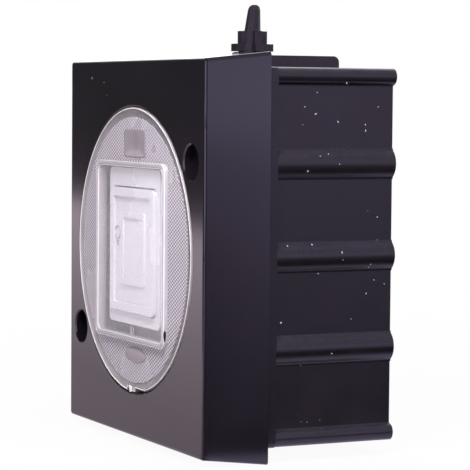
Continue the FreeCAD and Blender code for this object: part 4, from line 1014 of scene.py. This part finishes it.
@dataclass(frozen=True)
class MembraneCover:
    """The clear membrane: rim, latticed face, window frame, pads, slot and window film.

    It is a round disc about the depth axis, with its middle at disc_z. Its face lies at the
    front that is named face, and the window's frame stands proud of that face.
    """

    # The disc, and how many steps go round it.
    face: float = 49.0
    disc_z: float = -0.25
    steps: int = 360

    # The rim: its walls, its rounded lip, and the smooth band inside the lip.
    rim_out: float = 34.1
    rim_in: float = 31.0
    rear: float = 45.2
    lip: float = 0.5
    lip_sink: float = 0.1
    lip_rise: float = 0.28
    lip_steps: int = 9
    band_edge: float = 0.12
    band_sink: float = 0.2
    band_slope: float = 0.1

    # Two flats at the rim's lower edge, as deep as each other: a wide one and a narrow one.
    flat_x: float = 6.4
    flat_half: float = 4.3
    notch_x: float = -1.9
    notch_half: float = 0.55
    flat_depth: float = 0.95

    # The flange behind the frame, which gives way beside the two screw wells.
    flange_out: float = 36.2
    flange_front: float = 46.6
    flange_gap: float = 0.02
    flange_inset: float = 0.2
    wells: Point = (33.1, 21.65)
    well_clear: float = 5.8

    # The latticed skin from the window's frame to the rim, tucked a little under both.
    lattice_out: float = 31.9
    under_frame: float = 0.2
    under_rim: float = 0.08
    sheet_sink: float = 0.04
    sheet_back: float = 0.3
    sheet_rows: tuple[float, ...] = (0.0, 0.33, 0.66, 1.0)

    # The window and the ridge round it.
    half_w: float = 20.9
    half_h: float = 21.6
    window_z: float = -0.6
    corner: float = 2.2
    ridge: float = 1.5
    ridge_corner: float = 0.7
    skin: float = 1.2
    proud: float = 1.15

    # The film in the window, and how much it crowns.
    film_front: float = 49.95
    film_thick: float = 0.3
    film_crown: float = 0.05
    film_overlap: float = 0.8
    film_steps: int = 40

    # The pads on the lattice: a square one above, an oval one below.
    pad_steps: int = 96
    pad_sink: float = 0.1
    pad_high: Point = (1.05, 25.3)
    pad_high_half: Halves = (6.4, 3.3)
    pad_high_corner: float = 0.7
    pad_high_rise: float = 0.14
    pad_low: Point = (2.1, -25.25)
    pad_low_half: Halves = (6.0, 1.9)
    pad_low_rise: float = 0.1

    # The drop-shaped slot low in the ridge's right flank, drawn as a dark lens of painted shade.
    slot_z: float = -19.0
    slot_front: float = 0.72
    slot_half: Halves = (0.34, 1.35)
    slot_taper: float = 0.35
    slot_rings: Stops = ((0.0, -0.02), (1.0, -0.02), (0.9, 0.03), (0.0, 0.03))
    slot_steps: int = 32

    # The beads of painted highlight along the lip and on both edges of the ridge's crown.
    line_steps: int = 7
    lip_line: float = 0.26
    lip_line_inset: float = 0.28
    lip_line_rise: float = 0.22
    crown_line: float = 0.14
    crown_line_inset: float = 0.22
    crown_line_corner: float = 0.8
    crown_line_span: Span = (0.5, 0.1)

    # The small tab beside the notch.
    tab: Point = (-0.55, 33.55)
    tab_half: Halves = (0.48, 0.66)
    tab_corner: float = 0.2
    tab_steps: int = 24
    tab_sink: float = 0.2
    tab_rise: float = 0.3

    def rim_radius(self, turn: Array) -> Array:
        """Works out the rim's outer radius: a circle with two flats on its lower edge.

        On a flat the outline is the line z = -(rim_out - flat_depth), so the radius is that
        distance over the size of the angle's sine.

        Args:
            turn: the angles.

        Returns:
            The radius at each angle.
        """
        x = self.rim_out * np.cos(turn)
        on_flat = np.abs(x - self.flat_x) < self.flat_half
        on_notch = np.abs(x - self.notch_x) < self.notch_half
        below = np.sin(turn) < 0
        chord = (self.rim_out - self.flat_depth) / np.maximum(-np.sin(turn), LEAST_SINE)
        cut = np.minimum(chord, self.rim_out)
        return np.where((on_flat | on_notch) & below, cut, self.rim_out)

    def flange_radius(self, turn: Array) -> Array:
        """Works out the flange's radius, which gives way near the middles of the wells.

        The wells' middles are the point wells and its opposite. Where the flange's edge
        would come nearer to one than well_clear, it ends just inside the rim instead.

        Args:
            turn: the angles.

        Returns:
            The radius at each angle.
        """
        x, z = self.flange_out * np.cos(turn), self.flange_out * np.sin(turn)
        well_x, well_z = self.wells
        reach = np.minimum(np.hypot(x - well_x, z - well_z), np.hypot(x + well_x, z + well_z))
        return np.where(reach < self.well_clear, self.rim_out - self.flange_inset,
                        self.flange_out)

    def rim(self) -> Grid:
        """Makes the rim: a ring's section turned about the depth axis.

        From the outer wall the section goes over a lip shaped as half an ellipse, down to a
        smooth band, down the inner wall and back along the flange behind the frame. The
        outer wall and the lip follow rim_radius, and the flange follows flange_radius.

        Returns:
            The closed ring.
        """
        turn = angles(4 * self.steps)
        bend = np.linspace(0, math.pi, self.lip_steps)
        half = self.lip / 2
        lip_out = half * np.cos(bend) - half
        lip_front = self.face - self.lip_sink + self.lip_rise * np.sin(bend)
        band = np.array([[self.lattice_out, self.face - self.band_edge],
                         [self.lattice_out - self.band_slope, self.face - self.band_sink],
                         [self.rim_in, self.face - self.band_sink],
                         [self.rim_in, self.rear]])
        outer = self.rim_radius(turn)[:, None] + np.concatenate([[0.0], lip_out])
        inner = np.tile(band[:, 0], (len(turn), 1))
        flange = np.repeat(self.flange_radius(turn)[:, None], 2, axis=1)
        radius = np.concatenate([outer, inner, flange], 1)
        front = np.concatenate([[self.flange_front + self.flange_gap], lip_front, band[:, 1],
                                [self.rear, self.flange_front]])
        flat = np.stack([radius * np.cos(turn)[:, None],
                         radius * np.sin(turn)[:, None] + self.disc_z], -1)
        return Grid(at_front(flat, front), True, True)

    def face_sheet(self) -> Grid:
        """Makes the latticed skin between the window's frame and the rim.

        At each angle a straight line runs from the frame's rounded rectangle to the rim's
        inner circle, out along the front skin and back along the rear one.

        Returns:
            The closed sheet.
        """
        turn = angles(self.steps)
        near = rounded_rectangle(self.half_w - self.under_frame, self.half_h - self.under_frame,
                                 self.corner, turn)
        near[:, 1] += self.window_z
        far = np.stack([np.cos(turn), np.sin(turn)], -1) * (self.lattice_out - self.under_rim)
        far[:, 1] += self.disc_z
        rows = np.array(self.sheet_rows)
        share = np.concatenate([rows[:1], rows, rows[:0:-1]])
        front, back = self.face - self.sheet_sink, self.face - self.sheet_back
        depth = np.repeat([back, front, back], [1, len(rows), len(rows) - 1])
        flat = near[:, None, :] + (far - near)[:, None, :] * share[None, :, None]
        return Grid(at_front(flat, depth), True, True)

    def round_window(self, inset: float, corner_share: float) -> Array:
        """Gives the window's rounded outline, drawn in by a distance.

        Args:
            inset: how far inside the ridge's outer edge it runs.
            corner_share: its corner's radius as a share of the window's corner.

        Returns:
            Rows of (x, z).
        """
        path = rounded_rectangle(self.half_w - inset, self.half_h - inset,
                                 self.corner * corner_share, angles(self.steps))
        path[:, 1] += self.window_z
        return path

    def frame(self) -> Grid:
        """Makes the window's raised frame: a round ridge carried round its outline."""
        section = bead(self.ridge, self.face - self.skin, self.face + self.proud)
        return carry(section, self.round_window(self.ridge / 2, self.ridge_corner))

    def pads(self) -> list[Grid]:
        """Makes the two smooth bare pads, a rounded rectangle and an ellipse.

        Returns:
            The upper pad and the lower one.
        """
        turn = angles(self.pad_steps)
        square = rounded_rectangle(*self.pad_high_half, self.pad_high_corner, turn)
        oval = np.stack([np.cos(turn), np.sin(turn)], -1) * np.array(self.pad_low_half)
        low = self.face - self.pad_sink
        return [slab(square + np.array(self.pad_high), low, self.face + self.pad_high_rise),
                slab(oval + np.array(self.pad_low), low, self.face + self.pad_low_rise)]

    def slot(self) -> Grid:
        """Makes the slot in the ridge's right flank as painted shade: a thin dark lens.

        Its outline is an ellipse whose width grows with height, by slot_taper at the top,
        and shrinks as much at the bottom. Each ring is a share of it, lifted off the flank.

        Returns:
            The closed lens.
        """
        turn = angles(self.slot_steps)
        half_w, half_h = self.slot_half
        rise = half_h * np.sin(turn)
        reach = half_w * np.cos(turn) * (1 + self.slot_taper * np.sin(turn))
        rings = [np.stack([np.full_like(turn, self.half_w + lift),
                           -(self.face + self.slot_front) - share * reach,
                           self.slot_z + share * rise], -1)
                 for share, lift in self.slot_rings]
        return Grid(np.stack(rings, 1), True, False)

    def edge_lines(self) -> list[Grid]:
        """Makes the fine round beads of painted highlight, and the tab.

        One bead runs round the rim's lip and its flats, just inside rim_radius. Two run
        along the crown of the window's frame.

        Returns:
            The lip's bead, the frame's two beads and the tab.
        """
        turn = angles(3 * self.steps)
        ray = np.stack([np.cos(turn), np.sin(turn)], -1)
        around = ray * (self.rim_radius(turn) - self.lip_line_inset)[:, None]
        lines = [carry(bead(self.lip_line, self.face - self.lip_sink,
                            self.face + self.lip_line_rise, self.line_steps),
                       around + np.array([0.0, self.disc_z]))]
        crown = self.face + self.proud
        foot, top = self.crown_line_span
        section = bead(self.crown_line, crown - foot, crown - top, self.line_steps)
        for inset in (self.crown_line_inset, self.ridge - self.crown_line_inset):
            lines.append(carry(section, self.round_window(inset, self.crown_line_corner)))
        outline = rounded_rectangle(*self.tab_half, self.tab_corner, angles(self.tab_steps))
        middle = np.array([self.tab[0], self.disc_z - self.tab[1]])
        lines.append(slab(outline + middle, self.face - self.tab_sink, self.face + self.tab_rise))
        return lines

    def film(self) -> list[Grid]:
        """Makes the window film: a sheet with a slight crown, and its rear face.

        The crown is a cosine hill over the sheet's two half widths.

        Returns:
            The front face and the rear face.
        """
        inset = self.ridge * self.film_overlap
        w, h = self.half_w - inset, self.half_h - inset
        x, z = np.meshgrid(np.linspace(-w, w, self.film_steps),
                           np.linspace(-h, h, self.film_steps), indexing="ij")
        crown = self.film_crown * np.cos(x / w * math.pi / 2) * np.cos(z / h * math.pi / 2)
        z = z + self.window_z
        return [Grid(np.stack([x, -(front + crown), z], -1))
                for front in (self.film_front, self.film_front - self.film_thick)]

    def build(self, finishes: Finishes) -> list[bpy.types.Object]:
        """Makes the seven pieces that together stand for the membrane's solid.

        Args:
            finishes: the set of finishes.

        Returns:
            The pieces.
        """
        vinyl, lattice, film, ridge, edge = (
            finish.build() for finish in (finishes.vinyl, finishes.lattice, finishes.film,
                                          finishes.ridge, finishes.edge))
        pieces = [
            make_piece("membrane_rim", [self.rim()], vinyl, Body.HOUSING),
            make_piece("membrane_lattice_face", [self.face_sheet()], lattice, Body.HOUSING, False),
            make_piece("membrane_window_frame", [self.frame()], ridge, Body.HOUSING),
            # Painted highlights: near-white beads on the lip and the frame's crown, and the tab.
            make_piece("membrane_highlight_lines", self.edge_lines(), edge, Body.HOUSING),
            make_piece("membrane_pads", self.pads(), finishes.pad.build(), Body.HOUSING),
            # A black rubber lens on the flank: the slot's painted shade.
            make_piece("membrane_slot_shade", [self.slot()], finishes.rubber.build(), Body.HOUSING),
            make_piece("membrane_window_film", self.film(), film, Body.HOUSING),
        ]
        for piece in pieces:
            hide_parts("clear_membrane")
        return pieces


@dataclass(frozen=True)
class KeyMarks:
    """Fine marks: the lamp icon on the press key, and the U moulded in the window film."""

    # How far each mark's foot reaches into the face below it, and how finely it is drawn.
    sink: float = 0.05
    round_steps: int = 48
    line_steps: int = 7
    bend_steps: int = 13

    # The lamp icon: a ring for the bulb, and two short bars below it for the cap.
    key_face: float = 48.7
    icon: Point = (-9.8, 3.5)
    bulb_radius: float = 1.6
    bulb_line: float = 0.42
    bulb_rise: float = 0.22
    cap_drops: Span = (2.15, 2.85)
    cap_half: Halves = (0.8, 0.2)
    cap_corner: float = 0.18
    cap_rise: float = 0.18

    # The U: its half width, the top of its legs, and the middle and height of its bend.
    film_face: float = 49.95
    letter: Point = (2.3, -19.2)
    letter_half: float = 0.75
    letter_top: float = 0.75
    bend_z: float = -0.45
    bend_rise: float = 0.6
    letter_line: float = 0.34
    letter_rise: float = 0.12

    def lamp_icon(self) -> list[Grid]:
        """Makes the lamp icon: a bead round a circle, and two bars as rounded rectangles.

        Returns:
            The ring and the bars.
        """
        turn = angles(self.round_steps)
        middle = np.array(self.icon)
        path = middle + self.bulb_radius * np.stack([np.cos(turn), np.sin(turn)], -1)
        low = self.key_face - self.sink
        icon = [carry(bead(self.bulb_line, low, self.key_face + self.bulb_rise,
                           self.line_steps), path)]
        bar = rounded_rectangle(*self.cap_half, self.cap_corner, turn) + middle
        for drop in self.cap_drops:
            icon.append(slab(bar - np.array([0.0, drop]), low, self.key_face + self.cap_rise))
        return icon

    def letter_u(self) -> Grid:
        """Makes a U-shaped ridge: half an ellipse with two straight legs, as one tube.

        Returns:
            The closed ridge.
        """
        bend = np.linspace(math.pi, FULL_TURN, self.bend_steps)
        arc = np.stack([self.letter_half * np.cos(bend),
                        self.bend_rise * np.sin(bend) + self.bend_z], -1)
        legs = [[[side * self.letter_half, self.letter_top]] for side in (-1, 1)]
        path = np.concatenate([legs[0], arc, legs[1]]) + np.array(self.letter)
        return strip(path, self.letter_line, self.film_face - self.sink,
                     self.film_face + self.letter_rise)

    def build(self, finishes: Finishes) -> list[bpy.types.Object]:
        """Makes the marks and lets each ride with the moulding it stands on.

        Args:
            finishes: the set of finishes.

        Returns:
            The two pieces.
        """
        ink = finishes.ink.build()
        icon = make_piece("key_lamp_icon", self.lamp_icon(), ink, Body.KEY)
        mark = make_piece("film_u_mark", [self.letter_u()], finishes.ridge.build(), Body.HOUSING,
                          False)
        return [icon, mark]


@dataclass(frozen=True)
class DustFlakes:
    """Specks of dust that lie on the black mouldings.

    Each is its x, y and z and its radius: on the box's right side, or on the frame's front.
    Each ring of a flake is a share of its outline, at a height over the face.
    """

    on_side: tuple[Flake, ...] = (
        (38.8, -20.0, 37.6, 0.16), (38.8, -20.3, 32.7, 0.27), (38.8, -23.1, 34.3, 0.16),
        (38.8, -14.5, 30.9, 0.22), (38.8, -7.4, 30.3, 0.19), (38.8, -7.3, 28.9, 0.22),
        (38.8, -4.1, 34.4, 0.16), (38.8, -23.6, 30.3, 0.12), (40.4, -13.2, 39.8, 0.2),
        (39.4, -16.6, 41.4, 0.2), (40.1, -22.9, 19.8, 0.27), (39.6, -17.3, 23.6, 0.16),
        (40.4, -14.9, 21.3, 0.14), (39.9, -19.6, 23.1, 0.12), (38.8, -3.9, 8.9, 0.2),
        (38.8, -6.5, 10.4, 0.12), (38.8, -3.9, 3.6, 0.12), (40.3, -13.9, 1.0, 0.22),
        (40.3, -13.6, -0.7, 0.12), (39.9, -6.2, -1.9, 0.17), (39.4, -6.3, -2.6, 0.14),
        (38.8, -19.3, -3.8, 0.2), (38.8, -4.6, -5.7, 0.16), (38.8, -1.9, -6.7, 0.12),
        (38.8, -6.7, -8.8, 0.19), (38.8, -28.7, -14.8, 0.23), (38.8, -10.6, -14.6, 0.11),
        (40.3, -16.3, -22.2, 0.19), (38.8, -23.6, -24.7, 0.14), (39.1, -23.5, -37.8, 0.11),
        (39.4, -22.1, -37.9, 0.11), (38.8, -18.5, -37.6, 0.12))
    on_front: tuple[Flake, ...] = (
        (-26.4, -49.0, 40.9, 0.3), (-18.5, -49.0, 39.8, 0.18), (-16.6, -49.0, 36.7, 0.14))
    rings: Stops = ((1.0, -0.02), (0.7, 0.05), (0.0, 0.07))
    steps: int = 10
    waves: Span = (0.3, 0.2)

    def flake(self, spot: Flake, seed: int, across: Direction, out: Direction) -> Grid:
        """Makes a low uneven blob: a circle whose radius wanders by two sine waves.

        The radius at angle t is the flake's own times one plus the first share of waves
        times sin(2 t + seed), plus the second times sin(3 t + 2 seed).

        Args:
            spot: its place and radius.
            seed: its number, which shifts the waves.
            across: the direction in the face that is level.
            out: the direction out of the face.

        Returns:
            The open blob, whose foot lies under the face.
        """
        turn = angles(self.steps)
        slow, fast = self.waves
        wander = 1 + slow * np.sin(2 * turn + seed) + fast * np.sin(3 * turn + 2 * seed)
        radius = spot[3] * wander
        rings = []
        for share, lift in self.rings:
            ring = (np.outer(share * radius * np.cos(turn), across)
                    + np.outer(share * radius * np.sin(turn), [0.0, 0.0, 1.0]))
            rings.append(np.array(spot[:3]) + ring + lift * np.array(out))
        return Grid(np.stack(rings, 1), True, False)

    def build(self, finishes: Finishes) -> list[bpy.types.Object]:
        """Makes the flakes as one piece on each moulding.

        Args:
            finishes: the set of finishes.

        Returns:
            The two pieces.
        """
        finish = finishes.dust.build()
        side = ("box_dust", self.on_side, (0.0, 1.0, 0.0), (1.0, 0.0, 0.0), "box_plastic")
        front = ("bezel_dust", self.on_front, (1.0, 0.0, 0.0), (0.0, -1.0, 0.0), "bezel_plastic")
        pieces = []
        for name, spots, across, out, slot in (side, front):
            flakes = [self.flake(spot, n, across, out) for n, spot in enumerate(spots)]
            pieces.append(make_piece(name, flakes, finish, Body.HOUSING))
        return pieces


@dataclass(frozen=True)
class ReturnSpring:
    """The return spring behind the contact bridge: round wire wound in an even helix."""

    rear: float = 15.85
    front: float = 27.55
    middle_z: float = -6.1
    coil: float = 2.4
    wire: float = 0.3
    turns: float = 4.5
    travel: float = 1.78
    steps_per_turn: int = 48
    wire_steps: int = 12

    def surface(self) -> Grid:
        """Makes the wire: a circle of the wire's radius carried along a helix.

        The helix runs round the depth axis at the coil's radius and goes forwards evenly.
        The circle is spanned by the ray out from the axis and that ray's cross product with
        the helix's direction, and it shrinks to a point at both ends.

        Returns:
            The closed tube.
        """
        turn = np.linspace(0, FULL_TURN * self.turns, round(self.steps_per_turn * self.turns) + 1)
        reach = self.front - self.rear - 2 * self.wire
        none = np.zeros_like(turn)
        out = np.stack([np.cos(turn), none, np.sin(turn)], -1)
        centre = self.coil * out
        centre[:, 1] = -(self.rear + self.wire + reach * turn / turn[-1])
        centre[:, 2] += self.middle_z
        ahead = np.stack([-self.coil * np.sin(turn), none - reach / turn[-1],
                          self.coil * np.cos(turn)], -1)
        ahead /= np.linalg.norm(ahead, axis=1)[:, None]
        side = np.cross(ahead, out)
        round_wire = angles(self.wire_steps)
        ring = self.wire * (np.cos(round_wire)[None, :, None] * out[:, None, :]
                            + np.sin(round_wire)[None, :, None] * side[:, None, :])
        tube = centre[:, None, :] + ring
        ends = [np.repeat(centre[[n], None, :], self.wire_steps, axis=1) for n in (0, -1)]
        return Grid(np.concatenate([ends[0], tube, ends[1]]), False, True)

    def build(self, finishes: Finishes) -> list[bpy.types.Object]:
        """Makes the spring and hides the solid return spring.

        Args:
            finishes: the set of finishes.

        Returns:
            The one piece.
        """
        piece = make_piece("wound_return_spring", [self.surface()], finishes.spring.build(),
                           Body.HOUSING)
        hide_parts("return_spring")
        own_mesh(piece)
        return [piece]


@dataclass(frozen=True)
class Mouldings:
    """The solids that are kept, listed by what they are made of."""

    polished_black: tuple[str, ...] = ("front_bezel",)
    satin_black: tuple[str, ...] = ("back_box",)
    rubber: tuple[str, ...] = ("cable_gland", "bezel_gasket", "screw_seals")
    white: tuple[str, ...] = ("switch_cover", "rocker", "plunger")
    grey: tuple[str, ...] = ("retaining_ring", "switch_body")
    zinc: tuple[str, ...] = ("mounting_strap", "strap_screws", "bezel_screws", "ring_screws",
                             "terminal_screws")
    brass: tuple[str, ...] = ("contact_bridge", "fixed_contact_left", "fixed_contact_right",
                              "terminal_clamps")
    silver: tuple[str, ...] = ("bridge_tips", "fixed_tips")

    def build(self, finishes: Finishes,
              nodes: dict[str, bpy.types.Object]) -> list[bpy.types.Object]:
        """Gives every solid that is kept its own finish.

        Args:
            finishes: the set of finishes.
            nodes: node name to object, from the frame.

        Returns:
            The dressed solids.
        """
        wear = ((finishes.gloss_abs, self.polished_black), (finishes.satin_abs, self.satin_black),
                (finishes.rubber, self.rubber), (finishes.white_abs, self.white),
                (finishes.grey_pbt, self.grey), (finishes.zinc, self.zinc),
                (finishes.brass, self.brass), (finishes.silver, self.silver))
        dressed = []
        for finish, names in wear:
            material = finish.build()
            for name in names:
                dressed.append(nodes[name])
                for held in nodes[name].material_slots:
                    held.material = material
        return dressed


def main() -> None:
    """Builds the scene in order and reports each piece."""
    logging.basicConfig(level=logging.INFO, format="%(name)s: %(message)s")
    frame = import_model()
    finishes = Finishes()
    Studio().build()
    pieces = Mouldings().build(finishes, frame["nodes"])
    for part in (MembraneCover(), KeyMarks(), DustFlakes(), ReturnSpring()):
        pieces += part.build(finishes)
    for piece in pieces:
        LOG.info("%s wears %s", piece.name, piece.active_material.name)


if __name__ == "__main__":
    main()
